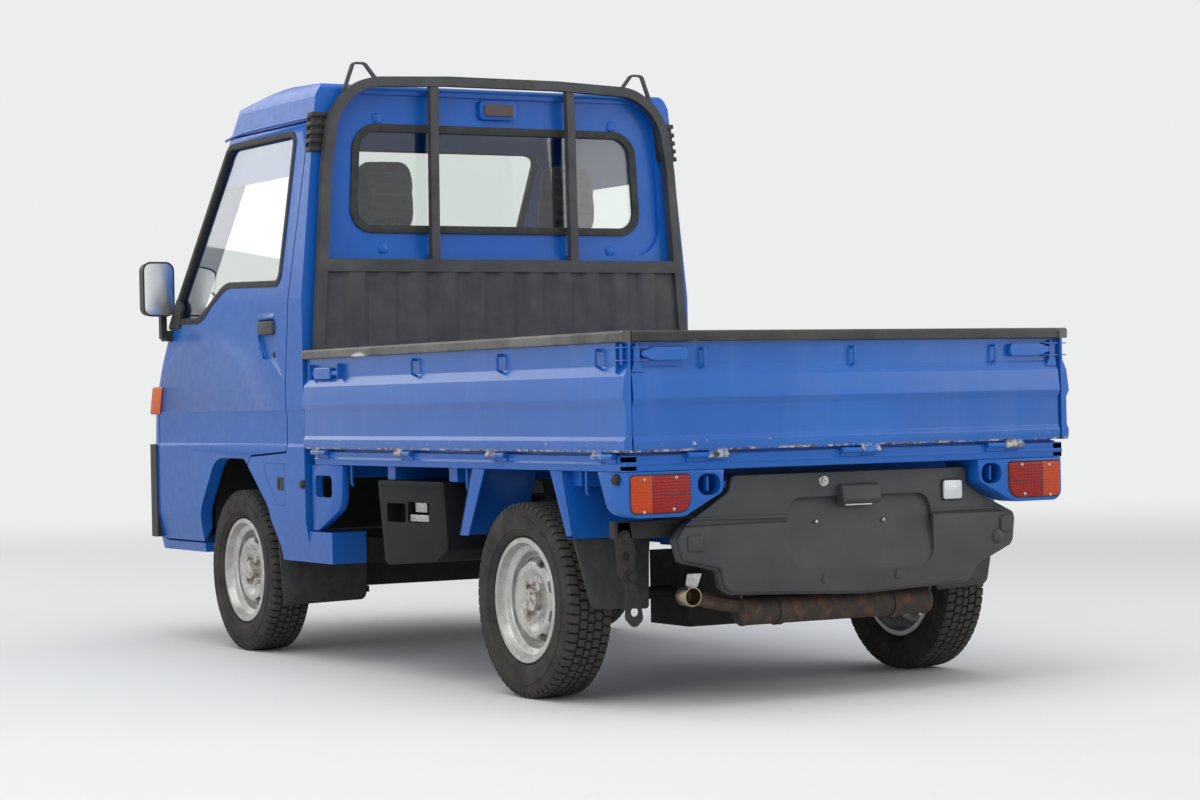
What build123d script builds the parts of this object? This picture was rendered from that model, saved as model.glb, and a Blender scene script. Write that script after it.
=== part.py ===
from build123d import *
import math
import os

os.makedirs("parts", exist_ok=True)

# A small cab-over pickup with drop sides, in millimetres.
# Front towards -Y, the vehicle's left towards +X, the ground at Z = 0.

# Whole vehicle
length = 3295.0
width = 1395.0
wheelbase = 1885.0
rear_axle_y = 1049.0
front_axle_y = rear_axle_y - wheelbase
tyre_radius = 258.0
tyre_width = 144.0
track = 1200.0
gap = 6.0
run = 0.3

front_end = -length / 2
rear_end = length / 2

# Cab
cab_side_x = 690.0
cab_rear = -275.0
cab_foot = 305.0
cab_wall = 40.0
roof_top = 1786.0
roof_rear = 1766.0
cowl_y, cowl_z = -1520.0, 930.0
header_y, header_z = -935.0, 1728.0
belt_z = 1110.0
door_top = 1652.0
door_foot = 338.0
door_reach = 612.0
door_front = -1485.0
door_rear = -407.0
arch_top = 618.0
glass_thick = 5.0
glass_depth = 12.0

# Door hinges, just inside the skin at each door's front edge
door_pin_x = 685.0
door_pin_y = door_front - gap / 2 - 1
door_pin_r = 2.5
door_knuckle_r = 5.0
door_knuckle_long = 36.0
door_hinge_heights = (470.0, 800.0)

# Cab floor
footwell_z = 385.0
seat_deck_z = 655.0
floor_thick = 25.0
floor_half = 630.0
bulkhead_foot = 560.0

# Load bed
gate_height = 299.0
gate_foot = 651.0
gate_thick = 26.0
gate_front = cab_rear + 7.0
cap_high = 28.0
deck_z = 652.0
deck_thick = 17.0
rail_foot = 603.0
rail_top = 643.0
hinge_z = 640.0
barrel_r = 7.5
pin_r = 3.5
hinge_inset = 8.0
rail_inset = 17.5
half = width / 2
gate_in = half - gate_thick
tail_half = gate_in - gap
hinge_x = half - hinge_inset
hinge_y = rear_end - barrel_r
rail_x = half - rail_inset
rear_face = rear_end - 16.5
barrel_long = 42.0

# Rack behind the cab
rack_tube = 30.0
rack_front = cab_rear + 13.0
rack_foot_x = gate_in - 9.0
rack_mid_x = 638.0
rack_mid_z = 1520.0
rack_top = 1797.0
rack_rail_z = 1189.0
rack_rail_high = 38.0
rack_bar_x = 250.0

# Chassis
frame_x = 290.0
frame_wide = 60.0
frame_high = 80.0
frame_front_z = 280.0
frame_rear_z = 430.0
cross_foot = rail_foot - 40.0

# Front suspension
hub_x = track / 2
ball_x, ball_z = 535.0, 190.0
strut_top_x, strut_top_z = 455.0, 566.0
strut_lean = (ball_x - strut_top_x) / (strut_top_z - ball_z)
spring_r, stud_r = 42.0, 12.0

# Rear cover
rear_member_y = 1538.0
lid_hangers = (-150.0, 190.0)
lid_face = 1606.0
lid_thick = 28.0
lid_hinge_y = 1564.0
lid_hinge_z = 300.0
lid_pin_r = 6.0
lamp_foot = 488.0


def outline(rows):
    """Closed flat shape through rows of (across, up, corner radius)."""
    with BuildSketch() as shape:
        with BuildLine():
            FilletPolyline([(a, b) for a, b, r in rows], radius=[r for a, b, r in rows], close=True)
        make_face()
    return shape.sketch


def both_sides(rows):
    """Rows of the right half of a shape, and the same rows mirrored for its left half."""
    return rows + [(-a, b, r) for a, b, r in reversed(rows)]


def save(piece, name):
    """Name a finished piece and write it out."""
    piece.part.label = name
    export_step(piece.part, "parts/" + name + ".step")


# Recessed band pressed round the cab between its two creases
band_foot, band_top, band_deep = 656.0, 770.0, 4.0

# Level sections of the cab, rows of (height, half width, front, front corner radius)
cab_sections = (
    (cab_foot, 668.0, -1590.0, 80.0),
    (430.0, cab_side_x, -1614.0, 90.0),
    (560.0, cab_side_x, -1622.0, 90.0),
    (band_foot, cab_side_x, -1616.0, 90.0),
    (band_foot + 10, cab_side_x - band_deep, -1615.0 + band_deep, 90.0),
    (band_top - 6, cab_side_x - band_deep, -1608.0 + band_deep, 90.0),
    (band_top, cab_side_x, -1607.0, 90.0),
    (cowl_z, cab_side_x, cowl_y, 85.0),
    (belt_z, cab_side_x, -1388.0, 75.0),
    (1640.0, 638.0, -999.5, 60.0),
    (1850.0, 617.0, -845.5, 50.0),
)
nose_bow = 20.0


def cab_space(inset, drop=0.0):
    """The cab's outer form drawn in by inset, with its foot taken down by drop."""
    roof_rows = [
        (cab_rear, 0, 0), (-2000, 0, 0), (-2000, 280, 0), (header_y - 3, header_z + 2, 200),
        (-600, roof_top, 700), (cab_rear, roof_rear, 20),
    ]
    edge_rows = both_sides([(696, 0, 0), (696, belt_z, 300), (626, 1796, 110)])
    with BuildPart() as space:
        for height, wide, front, corner in ((cab_foot - drop,) + cab_sections[0][1:],) + cab_sections[1:]:
            wide_in, front_in, corner_in = wide - inset, front + inset, max(corner - inset, 15)
            with BuildSketch(Plane.XY.offset(height)):
                add(outline(both_sides([
                    (wide_in, cab_rear - inset, 0),
                    (wide_in, front_in + nose_bow, corner_in),
                    (0.45 * wide_in, front_in, 500),
                ])))
        loft(ruled=True)
        with BuildSketch(Plane.YZ.offset(-width)):
            add(outline(roof_rows))
            if inset:
                offset(amount=-inset, kind=Kind.INTERSECTION)
        extrude(amount=2 * width, mode=Mode.INTERSECT)
        with BuildSketch(Plane.XZ.offset(-length)):
            add(outline(edge_rows))
            if inset:
                offset(amount=-inset, kind=Kind.INTERSECTION)
        extrude(amount=2 * length, mode=Mode.INTERSECT)
    return space.part


# Openings in the cab, as rows of (along, up, corner radius)
door_rows = [
    (door_rear, 640, 12),
    (door_rear, 850, 400),
    (-305, door_top, 25),
    (-952, door_top, 40),
    (door_front, 915, 60),
    (door_front, door_foot, 30),
    (-800, door_foot, 0),
    (-760, 560, 0),
    (-690, 626, 0),
]
door_window_rows = [
    (-446, 1155, 45),
    (-394, 1628, 42),
    (-932, 1628, 60),
    (-1342, 1068, 28),
    (-1090, 1064, 150),
    (-880, 1170, 150),
]
arch_rows = [
    (-1130, 150, 0),
    (-1128, 440, 160),
    (-985, arch_top, 110),
    (-745, arch_top, 60),
    (-560, 470, 110),
    (-496, 345, 60),
    (-492, 150, 0),
]
screen_slope = math.atan2(header_z - cowl_z, header_y - cowl_y)
screen_mid_y = (cowl_y + header_y) / 2
screen_mid_z = (cowl_z + header_z) / 2
screen_plane = Plane(
    origin=(0, screen_mid_y, screen_mid_z),
    x_dir=(1, 0, 0),
    z_dir=(0, -math.sin(screen_slope), math.cos(screen_slope)),
)
screen_rows = both_sides([(590, -395, 60), (532, 405, 70)])
back_window_rows = both_sides([(512, 1318, 70), (494, 1640, 80)])
back_panel_rows = both_sides([(590, 1246, 90), (566, 1738, 100)])

# The cab's skin, hollow and open below, with its windows and wheel arches
outer_cab = cab_space(0)
inner_cab = cab_space(cab_wall, 150)
fitted_cab = cab_space(cab_wall + run, 150)
with BuildPart() as cab_skin:
    add(outer_cab)
    add(inner_cab, mode=Mode.SUBTRACT)
    with BuildSketch(Plane.YZ.offset(-width)):
        add(outline(arch_rows))
    extrude(amount=2 * width, mode=Mode.SUBTRACT)
    with BuildSketch(screen_plane.offset(-120)):
        add(outline(screen_rows))
    extrude(amount=240, mode=Mode.SUBTRACT)
    with BuildSketch(Plane.XZ.offset(-cab_rear - 20)):
        add(outline(back_panel_rows))
    extrude(amount=32, mode=Mode.SUBTRACT)
    with BuildSketch(Plane.XZ.offset(-cab_rear - 20)):
        add(outline(back_window_rows))
    extrude(amount=100, mode=Mode.SUBTRACT)

# Doors, cut from the skin along their seams
for name, side in (("left", 1), ("right", -1)):
    with BuildPart() as door:
        add(cab_skin.part)
        with BuildSketch(Plane.YZ.offset(side * door_reach)):
            add(outline(door_rows))
            offset(amount=-gap / 2, kind=Kind.INTERSECTION)
        extrude(amount=side * width, mode=Mode.INTERSECT)
        with BuildSketch(Plane.YZ.offset(side * door_reach)):
            add(outline(door_window_rows))
        extrude(amount=side * width, mode=Mode.SUBTRACT)
        with Locations((side * cab_side_x, -545, 1030)):
            Box(24, 138, 92, mode=Mode.SUBTRACT)
    with BuildPart() as handle:
        add(door.part)
        with Locations((side * (cab_side_x - 6), -545, 1043)):
            Box(14, 124, 34)
        for z in door_hinge_heights:
            with BuildSketch(Plane.XY.offset(z)):
                with Locations((side * door_pin_x, door_pin_y)):
                    Circle(door_knuckle_r)
                with Locations((side * (door_pin_x - 1), door_pin_y + 6)):
                    Rectangle(4, 12)
            extrude(amount=door_knuckle_long)
            with BuildSketch(Plane.XY.offset(z)):
                with Locations((side * door_pin_x, door_pin_y)):
                    Circle(door_pin_r + 0.06)
            extrude(amount=door_knuckle_long, mode=Mode.SUBTRACT)
    save(handle, "door_" + name)

with BuildPart() as cab_frame:
    add(cab_skin.part)
    for side in (1, -1):
        with BuildSketch(Plane.YZ.offset(side * door_reach)):
            add(outline(door_rows))
            offset(amount=gap / 2, kind=Kind.INTERSECTION)
        extrude(amount=side * width, mode=Mode.SUBTRACT)

roof_seam = door_top + gap / 2
cab_split = -800.0
cab_regions = (
    ("cab_roof", -2000.0, 0.0, roof_seam, 2000.0),
    ("cab_front", -2000.0, cab_split, 0.0, roof_seam),
    ("cab_back", cab_split, 0.0, 0.0, roof_seam),
)
for name, y_low, y_high, z_low, z_high in cab_regions:
    with BuildPart() as region:
        with Locations((0, (y_low + y_high) / 2, (z_low + z_high) / 2)):
            Box(2 * width, y_high - y_low, z_high - z_low)
        add(cab_frame.part, mode=Mode.INTERSECT)
    if name == "cab_back":
        with BuildPart() as back:
            add(region.part)
            with Locations((0, cab_rear - cab_wall / 2, cab_foot)):
                Box(2 * (cab_side_x - cab_wall), 2 * cab_wall, 2 * (bulkhead_foot - cab_foot), mode=Mode.SUBTRACT)
            for side in (1, -1):
                with Locations((side * 622, cab_rear + 82, 353)):
                    Box(112, 164, 94)
        region = back
    if name == "cab_front":
        with BuildPart() as front:
            add(region.part)
            for side in (1, -1):
                for z in door_hinge_heights:
                    with BuildSketch(Plane.XY.offset(z - 1)):
                        with Locations((side * door_pin_x, door_pin_y)):
                            Circle(door_knuckle_r + 1.5)
                    extrude(amount=door_knuckle_long + 2, mode=Mode.SUBTRACT)
                    with BuildSketch(Plane.XY.offset(z - 4)):
                        with Locations((side * door_pin_x, door_pin_y)):
                            Circle(door_pin_r)
                    extrude(amount=door_knuckle_long + 8)
        region = front
    save(region, name)

# Cab floor: footwell, riser, seat deck and rear bulkhead in one pressed band
floor_rows = [
    (-1570, footwell_z, 0),
    (-1158, footwell_z, 30),
    (-1158, seat_deck_z, 30),
    (cab_rear - cab_wall, seat_deck_z, 0),
    (cab_rear - cab_wall, bulkhead_foot, 0),
    (cab_rear - cab_wall - floor_thick, bulkhead_foot, 0),
    (cab_rear - cab_wall - floor_thick, seat_deck_z - floor_thick, 0),
    (-1158 + floor_thick, seat_deck_z - floor_thick, 15),
    (-1158 + floor_thick, footwell_z - floor_thick, 15),
    (-1570, footwell_z - floor_thick, 0),
]
with BuildPart() as cab_floor:
    with BuildSketch(Plane.YZ.offset(-floor_half)):
        add(outline(floor_rows))
    extrude(amount=2 * floor_half)
    for side in (1, -1):
        with Locations((side * strut_top_x, front_axle_y, strut_top_z + run + 32)):
            Box(130, 170, 64)
    add(fitted_cab, mode=Mode.INTERSECT)
save(cab_floor, "cab_floor")

# Glass: the windscreen, rear window and door panes stand inside the openings
with BuildPart() as cab_glass:
    with BuildSketch(screen_plane.offset(-glass_depth - glass_thick)):
        add(outline(screen_rows))
        offset(amount=-run, kind=Kind.INTERSECTION)
    extrude(amount=glass_thick)
    with BuildSketch(Plane.XZ.offset(-cab_rear + glass_depth + 4)):
        add(outline(back_window_rows))
        offset(amount=-run, kind=Kind.INTERSECTION)
    extrude(amount=glass_thick)
save(cab_glass, "cab_glass")

pane_rows = [(cab_side_x, 1000, 0), (cab_side_x, belt_z, 0), (638, 1640, 0)]
for name, side in (("left", 1), ("right", -1)):
    with BuildPart() as pane:
        with BuildSketch(Plane.YZ.offset(side * 500)):
            add(outline(door_window_rows))
            offset(amount=-run, kind=Kind.INTERSECTION)
        extrude(amount=side * 300)
        with BuildSketch(Plane.XZ.offset(-length)):
            add(outline(
                [(side * (x - glass_depth), z, 0) for x, z, r in pane_rows]
                + [(side * (x - glass_depth - glass_thick), z, 0) for x, z, r in reversed(pane_rows)]
            ))
        extrude(amount=2 * length, mode=Mode.INTERSECT)
    save(pane, "door_glass_" + name)

# Door mirrors on a bent arm from the foot of each door window
mirror_y, mirror_z = -1345.0, 1182.0
mirror_foot_y, mirror_foot_z = -1362.0, 1026.0
for name, side in (("left", 1), ("right", -1)):
    with BuildPart() as mirror:
        with BuildSketch(Plane.XZ.offset(-mirror_y - 22)):
            with Locations((side * 742, mirror_z)):
                RectangleRounded(112, 184, 30)
        extrude(amount=44, taper=6)
        with BuildSketch(Plane.YZ.offset(side * (cab_side_x + run))):
            with Locations((mirror_foot_y, mirror_foot_z)):
                RectangleRounded(56, 36, 10)
        extrude(amount=side * 22)
        with Locations((side * 716, mirror_foot_y + 4, 1064)):
            Box(20, 24, 96)
    save(mirror, "mirror_" + name)

# Front bumper, headlamps and dashboard
bumper_low, bumper_high = 345.0, 660.0
bumper_back = -1500.0
with BuildPart() as front_bumper:
    with BuildSketch(Plane.XY.offset(bumper_low)):
        add(outline(both_sides([
            (cab_side_x + 5, bumper_back, 0), (cab_side_x + 5, front_end + nose_bow, 95), (310, front_end, 500),
        ])))
    extrude(amount=bumper_high - bumper_low)
    add(cab_space(-run), mode=Mode.SUBTRACT)
save(front_bumper, "front_bumper")

with BuildPart() as headlamps:
    for side in (1, -1):
        with BuildSketch(Plane.XZ.offset(1560)):
            with Locations((side * 470, 748)):
                RectangleRounded(230, 128, 20)
        extrude(amount=70)
        with BuildSketch(Plane.XZ.offset(1500)):
            with Locations((side * 640, 812)):
                RectangleRounded(84, 96, 10)
        extrude(amount=120)
    add(cab_space(-6), mode=Mode.INTERSECT)
    add(outer_cab, mode=Mode.SUBTRACT)
save(headlamps, "headlamps")

# Steering wheel on the right-hand side, its shaft running into the dashboard
wheel_hub = (-330.0, -1105.0, 1010.0)
column_tilt = math.radians(52)
column_plane = Plane(
    origin=wheel_hub, x_dir=(1, 0, 0), z_dir=(0, math.cos(column_tilt), math.sin(column_tilt))
)
shroud_top, shaft_end = 110.0, 232.0
with BuildPart() as dashboard:
    with BuildSketch(Plane.YZ.offset(-600)):
        add(outline([
            (-1620, 700, 0), (-1340, 760, 40), (-1250, 880, 50), (-1260, 985, 40), (-1390, 1015, 40), (-1620, 990, 0),
        ]))
    extrude(amount=1200)
    add(fitted_cab, mode=Mode.INTERSECT)
    with BuildSketch(column_plane.offset(-300)):
        Circle(32)
    extrude(amount=300 - shroud_top)
    with Locations((wheel_hub[0], -1285, 830)):
        Box(90, 130, 110)
    with BuildSketch(column_plane.offset(-shaft_end - 3)):
        Circle(11.05)
    extrude(amount=shaft_end, mode=Mode.SUBTRACT)
save(dashboard, "dashboard")

with BuildPart() as steering_wheel:
    with BuildSketch(Plane(origin=wheel_hub, x_dir=column_plane.z_dir, z_dir=(1, 0, 0))):
        with Locations((0, 168)):
            Circle(13)
    revolve(axis=Axis(wheel_hub, column_plane.z_dir))
    with BuildSketch(column_plane.offset(-22)):
        for turn in (0, 90, 180):
            with Locations(Rotation(0, 0, turn) * Location((84, 0))):
                Rectangle(168, 26)
        Circle(52)
    extrude(amount=16)
    with BuildSketch(column_plane.offset(-shaft_end)):
        Circle(11)
    extrude(amount=shaft_end - 10)
save(steering_wheel, "steering_wheel")

# Seats with their own headrests
for name, side in (("left", 1), ("right", -1)):
    with BuildPart() as seat:
        with BuildSketch(Plane.YZ.offset(side * 330 - 235)):
            add(outline([(-1010, seat_deck_z + run, 0), (-1010, 790, 50), (-600, 770, 20), (-470, 1230, 30),
                     (-380, 1230, 30), (-480, seat_deck_z + run, 0)]))
        extrude(amount=470)
        with BuildSketch(Plane.YZ.offset(side * 330 - 150)):
            add(outline([(-480, 1200, 0), (-450, 1430, 30), (-375, 1430, 30), (-395, 1180, 0)]))
        extrude(amount=300)
    save(seat, "seat_" + name)

# Deck: ribbed floor, side rails, rear sill and cross channels
cross_places = (-150.0, 250.0, 640.0, 1330.0)
with BuildPart() as deck:
    deck_front, deck_back = rack_front - 2, rear_face - 20
    with BuildSketch(Plane.XY.offset(deck_z - deck_thick)):
        with Locations((0, (deck_front + deck_back) / 2)):
            Rectangle(2 * (gate_in - 12), deck_back - deck_front)
    extrude(amount=deck_thick)
    rail_rows = [(gate_in - 20, rail_foot, 0), (rail_x, rail_foot, 3), (rail_x, 616, 0), (rail_x + 3, 621, 0),
                 (rail_x, 627, 0), (rail_x, rail_top, 3), (gate_in - 20, rail_top, 0)]
    with BuildSketch(Plane.XZ.offset(-rear_face)):
        add(outline(rail_rows))
        add(outline([(-a, b, r) for a, b, r in reversed(rail_rows)]))
    extrude(amount=rear_face - gate_front - 50)
    sill_rows = [(rear_face - 30, rail_foot, 0), (rear_face, rail_foot, 3), (rear_face, 616, 0), (rear_face + 3, 621, 0),
                 (rear_face, 627, 0), (rear_face, rail_top, 3), (rear_face - 30, rail_top, 0)]
    with BuildSketch(Plane.YZ.offset(-rail_x)):
        add(outline(sill_rows))
    extrude(amount=2 * rail_x)
    for y in cross_places:
        with Locations((0, y, (cross_foot + deck_z - deck_thick) / 2)):
            Box(2 * (gate_in - 20), 50, deck_z - deck_thick - cross_foot)
    with BuildSketch(Plane.XY.offset(deck_z)):
        with GridLocations(130, 0, 9, 1):
            with Locations((0, (deck_front + deck_back) / 2)):
                Rectangle(64, deck_back - deck_front - 80)
    extrude(amount=4)
    side_hinges = (-168.0, 395.0, 947.0, 1496.0)
    tail_hinges = (-481.0, 0.0, 481.0)
    for y in side_hinges:
        for side in (1, -1):
            with BuildSketch(Plane.XZ.offset(-y - barrel_long)):
                with Locations((side * hinge_x, hinge_z)):
                    Circle(barrel_r)
                with Locations((side * (hinge_x - 7), hinge_z)):
                    Rectangle(14, 4)
            extrude(amount=barrel_long)
            with BuildSketch(Plane.XZ.offset(-y - 1)):
                with Locations((side * hinge_x, hinge_z)):
                    Circle(pin_r)
            extrude(amount=barrel_long)
    for x in tail_hinges:
        with BuildSketch(Plane.YZ.offset(x)):
            with Locations((hinge_y, hinge_z)):
                Circle(barrel_r)
            with Locations((hinge_y - 6, hinge_z)):
                Rectangle(12, 4)
        extrude(amount=barrel_long)
        with BuildSketch(Plane.YZ.offset(x + 1)):
            with Locations((hinge_y, hinge_z)):
                Circle(pin_r)
        extrude(amount=-barrel_long)
save(deck, "deck")

# Drop sides and tailgate, one pressed profile: rows of (depth from the outside, up, radius)
gate_top = gate_foot + gate_height - cap_high
gate_rows = [
    (gate_thick, gate_foot, 0),
    (6, gate_foot, 2),
    (3, 660, 3),
    (0, 670, 6),
    (0, 682, 6),
    (10, 690, 4),
    (10, 775, 3),
    (4, 785, 3),
    (4, 840, 3),
    (14, 866, 4),
    (14, gate_top, 0),
    (gate_thick, gate_top, 0),
]
cap_rows = [
    (gate_thick + 2, gate_top + run, 0),
    (2, gate_top + run, 4),
    (2, gate_top + cap_high, 8),
    (gate_thick + 2, gate_top + cap_high, 8),
]
side_hooks = (-60.0, 286.0, 808.0, 1407.0)
tail_hooks = (455.0, 0.0, -455.0)
for name, side in (("left", 1), ("right", -1)):
    gate_long = rear_end - 2 - gate_front
    with BuildPart() as gate:
        with BuildSketch(Plane.XZ.offset(-rear_end + 2)):
            add(outline([(side * (half - d), z, r) for d, z, r in gate_rows]))
        extrude(amount=gate_long)
        for y in side_hinges:
            with BuildSketch(Plane.XZ.offset(-y)):
                with Locations((side * hinge_x, hinge_z)):
                    Circle(barrel_r)
                with Locations((side * hinge_x, (hinge_z + gate_foot) / 2 + 3)):
                    Rectangle(5, gate_foot - hinge_z + 6)
            extrude(amount=barrel_long)
            with BuildSketch(Plane.XZ.offset(-y)):
                with Locations((side * hinge_x, hinge_z)):
                    Circle(pin_r + 0.05)
            extrude(amount=barrel_long, mode=Mode.SUBTRACT)
        for y in side_hooks:
            with BuildSketch(Plane.XY.offset(878)):
                with Locations((side * (half - 4), y)):
                    Circle(4)
            extrude(amount=38)
            for z in (882, 912):
                with Locations((side * (half - 10), y, z)):
                    Box(14, 8, 8)
        with Locations((side * (half - 8), gate_front + 140, 892)):
            Box(14, 130, 34)
    save(gate, "gate_" + name)
    with BuildPart() as cap:
        with BuildSketch(Plane.XZ.offset(-rear_end + 2)):
            add(outline([(side * (half - d), z, r) for d, z, r in cap_rows]))
        extrude(amount=gate_long)
    save(cap, "gate_cap_" + name)

with BuildPart() as tailgate:
    with BuildSketch(Plane.YZ.offset(-tail_half)):
        add(outline([(rear_end - d, z, r) for d, z, r in gate_rows]))
    extrude(amount=2 * tail_half)
    for x in tail_hinges:
        with BuildSketch(Plane.YZ.offset(x - barrel_long)):
            with Locations((hinge_y, hinge_z)):
                Circle(barrel_r)
            with Locations((hinge_y, (hinge_z + gate_foot) / 2 + 3)):
                Rectangle(5, gate_foot - hinge_z + 6)
        extrude(amount=barrel_long)
        with BuildSketch(Plane.YZ.offset(x - barrel_long)):
            with Locations((hinge_y, hinge_z)):
                Circle(pin_r + 0.05)
        extrude(amount=barrel_long, mode=Mode.SUBTRACT)
    for x in tail_hooks:
        with BuildSketch(Plane.XY.offset(878)):
            with Locations((x, rear_end - 4)):
                Circle(4)
        extrude(amount=38)
        for z in (882, 912):
            with Locations((x, rear_end - 10, z)):
                Box(8, 14, 8)
    for side in (1, -1):
        with Locations((side * 582, rear_end - 8, 896)):
            Box(150, 14, 26)
save(tailgate, "tailgate")
with BuildPart() as tail_cap:
    with BuildSketch(Plane.YZ.offset(-tail_half)):
        add(outline([(rear_end - d, z, r) for d, z, r in cap_rows]))
    extrude(amount=2 * tail_half)
save(tail_cap, "tailgate_cap")

# Rack: one bent tube frame with a mid rail, two uprights and a rope loop on each corner
with BuildPart() as rack:
    with BuildSketch(Plane.XZ.offset(-rack_front - rack_tube)):
        add(outline(both_sides([
            (rack_foot_x, deck_z + run, 0), (rack_foot_x, 1000, 300), (rack_mid_x, rack_mid_z, 300),
            (600, rack_top - 15, 190), (200, rack_top, 400),
        ])))
        offset(amount=-rack_tube, kind=Kind.INTERSECTION, mode=Mode.SUBTRACT)
        with Locations((0, deck_z + rack_tube / 2 + 1)):
            Rectangle(2 * rack_foot_x - 2 * rack_tube - 1, rack_tube + 4, mode=Mode.SUBTRACT)
    extrude(amount=rack_tube)
    with Locations((0, rack_front + rack_tube / 2, rack_rail_z + rack_rail_high / 2)):
        Box(2 * (rack_foot_x - rack_tube) + 20, rack_tube, rack_rail_high)
    for x in (rack_bar_x, -rack_bar_x):
        with Locations((x, rack_front + rack_tube / 2, (rack_rail_z + rack_top) / 2)):
            Box(28, rack_tube - 6, rack_top - rack_rail_z - 24)
    for side in (1, -1):
        with BuildSketch(Plane.XZ.offset(-rack_front - rack_tube / 2 - 5)):
            with BuildLine():
                FilletPolyline(
                    (side * 452, 1780), (side * 492, 1846), (side * 530, 1846), (side * 566, 1728), radius=16
                )
            trace(line_width=11)
        extrude(amount=11)
save(rack, "rack")

with BuildPart() as headboard:
    board_half = rack_foot_x - rack_tube - 1
    with BuildSketch(Plane.XZ.offset(-rack_front - 22)):
        add(outline(both_sides([
            (board_half, deck_z + run, 0), (board_half, 1000, 0), (board_half - 12, rack_rail_z - run, 0),
        ])))
    extrude(amount=14)
    with GridLocations(118, 0, 11, 1):
        with Locations((0, rack_front + 24, (deck_z + rack_rail_z) / 2)):
            Box(52, 6, rack_rail_z - deck_z - 20)
save(headboard, "headboard")

# Blue lamp housings, front gussets and wheel guards under the deck
housing_rows = [
    (rail_x - 2, rail_foot - run, 0),
    (rail_x - 2, lamp_foot, 30),
    (535, lamp_foot, 40),
    (418, 530, 20),
    (412, rail_foot - run, 0),
]
lamp_mid_x, lamp_mid_z = 584.5, 543.0
lamp_wide, lamp_high = 171.0, 106.0
with BuildPart() as lamp_housings:
    for side in (1, -1):
        with BuildSketch(Plane.XZ.offset(-rear_face)):
            add(outline([(side * a, b, r) for a, b, r in housing_rows]))
        extrude(amount=92)
        with BuildSketch(Plane.XZ.offset(-rear_face)):
            with Locations((side * lamp_mid_x, lamp_mid_z)):
                RectangleRounded(lamp_wide + 2, lamp_high + 2, 22)
        extrude(amount=14, mode=Mode.SUBTRACT)
        with BuildSketch(Plane.XZ.offset(-rear_face)):
            with Locations((side * 462, 568)):
                RectangleRounded(68, 62, 20)
        extrude(amount=60, mode=Mode.SUBTRACT)
save(lamp_housings, "lamp_housings")

with BuildPart() as tail_lamps:
    for side in (1, -1):
        with BuildSketch(Plane.XZ.offset(-rear_face + 14 - run)):
            with Locations((side * lamp_mid_x, lamp_mid_z)):
                RectangleRounded(lamp_wide, lamp_high, 21)
        extrude(amount=-20)
save(tail_lamps, "tail_lamps")

with BuildPart() as deck_brackets:
    for side in (1, -1):
        with BuildSketch(Plane.YZ.offset(side * (rail_x - 2))):
            add(outline([(-216, rail_foot - run, 0), (20, rail_foot - run, 0), (10, 520, 60), (-40, 470, 60),
                     (-190, 404, 0), (-216, 404, 0)]))
            with Locations((-142, 542)):
                RectangleRounded(112, 66, 16, mode=Mode.SUBTRACT)
        extrude(amount=-side * 24)
        with BuildSketch(Plane.YZ.offset(side * (rail_x - 4))):
            add(outline([(812, rail_foot - run, 0), (842, rail_foot - run, 0), (740, 420, 0), (716, 420, 0)]))
        extrude(amount=-side * 200)
        with BuildSketch(Plane.YZ.offset(side * (rail_x - 4))):
            add(outline([(1200, rail_foot - run, 0), (1226, rail_foot - run, 0), (1330, 424, 0), (1306, 424, 0)]))
        extrude(amount=-side * 230)
save(deck_brackets, "deck_brackets")

# Mud flaps hang behind each wheel
with BuildPart() as mud_flaps:
    for side in (1, -1):
        with BuildSketch(Plane.XZ.offset(518)):
            add(outline([(side * 678, 387, 0), (side * 660, 160, 20), (side * 378, 166, 20), (side * 372, 387, 0)]))
        extrude(amount=8)
        with BuildSketch(Plane.XZ.offset(-1336)):
            add(outline([(side * 672, 424 - run, 0), (side * 630, 252, 25), (side * 460, 244, 10), (side * 450, 424 - run, 0)]))
        extrude(amount=8)
save(mud_flaps, "mud_flaps")

# Fuel tank behind its black cover, left side
with BuildPart() as fuel_tank:
    with BuildSketch(Plane.YZ.offset(666)):
        add(outline([(152, cross_foot - run, 8), (600, cross_foot - run, 8), (606, 333, 10), (250, 312, 25), (180, 330, 30)]))
    extrude(amount=-260)
    for y in (255.0, 415.0):
        with Locations((650, y, 478)):
            Box(60, 86, 66, mode=Mode.SUBTRACT)
save(fuel_tank, "fuel_tank")

# Chassis rails and the members between them
rail_band = [
    (-1540, frame_front_z), (-430, frame_front_z), (-190, frame_rear_z), (1560, frame_rear_z),
]
with BuildPart() as chassis_rails:
    for side in (1, -1):
        with BuildSketch(Plane.YZ.offset(side * frame_x)):
            add(outline([(y, z, 0) for y, z in rail_band] + [(y, z + frame_high, 0) for y, z in reversed(rail_band)]))
        extrude(amount=side * frame_wide)
        for y in cross_places:
            with Locations((side * (frame_x + frame_wide / 2), y, (frame_rear_z + frame_high + cross_foot) / 2)):
                Box(frame_wide, 50, cross_foot - frame_rear_z - frame_high)
save(chassis_rails, "chassis_rails")

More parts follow.
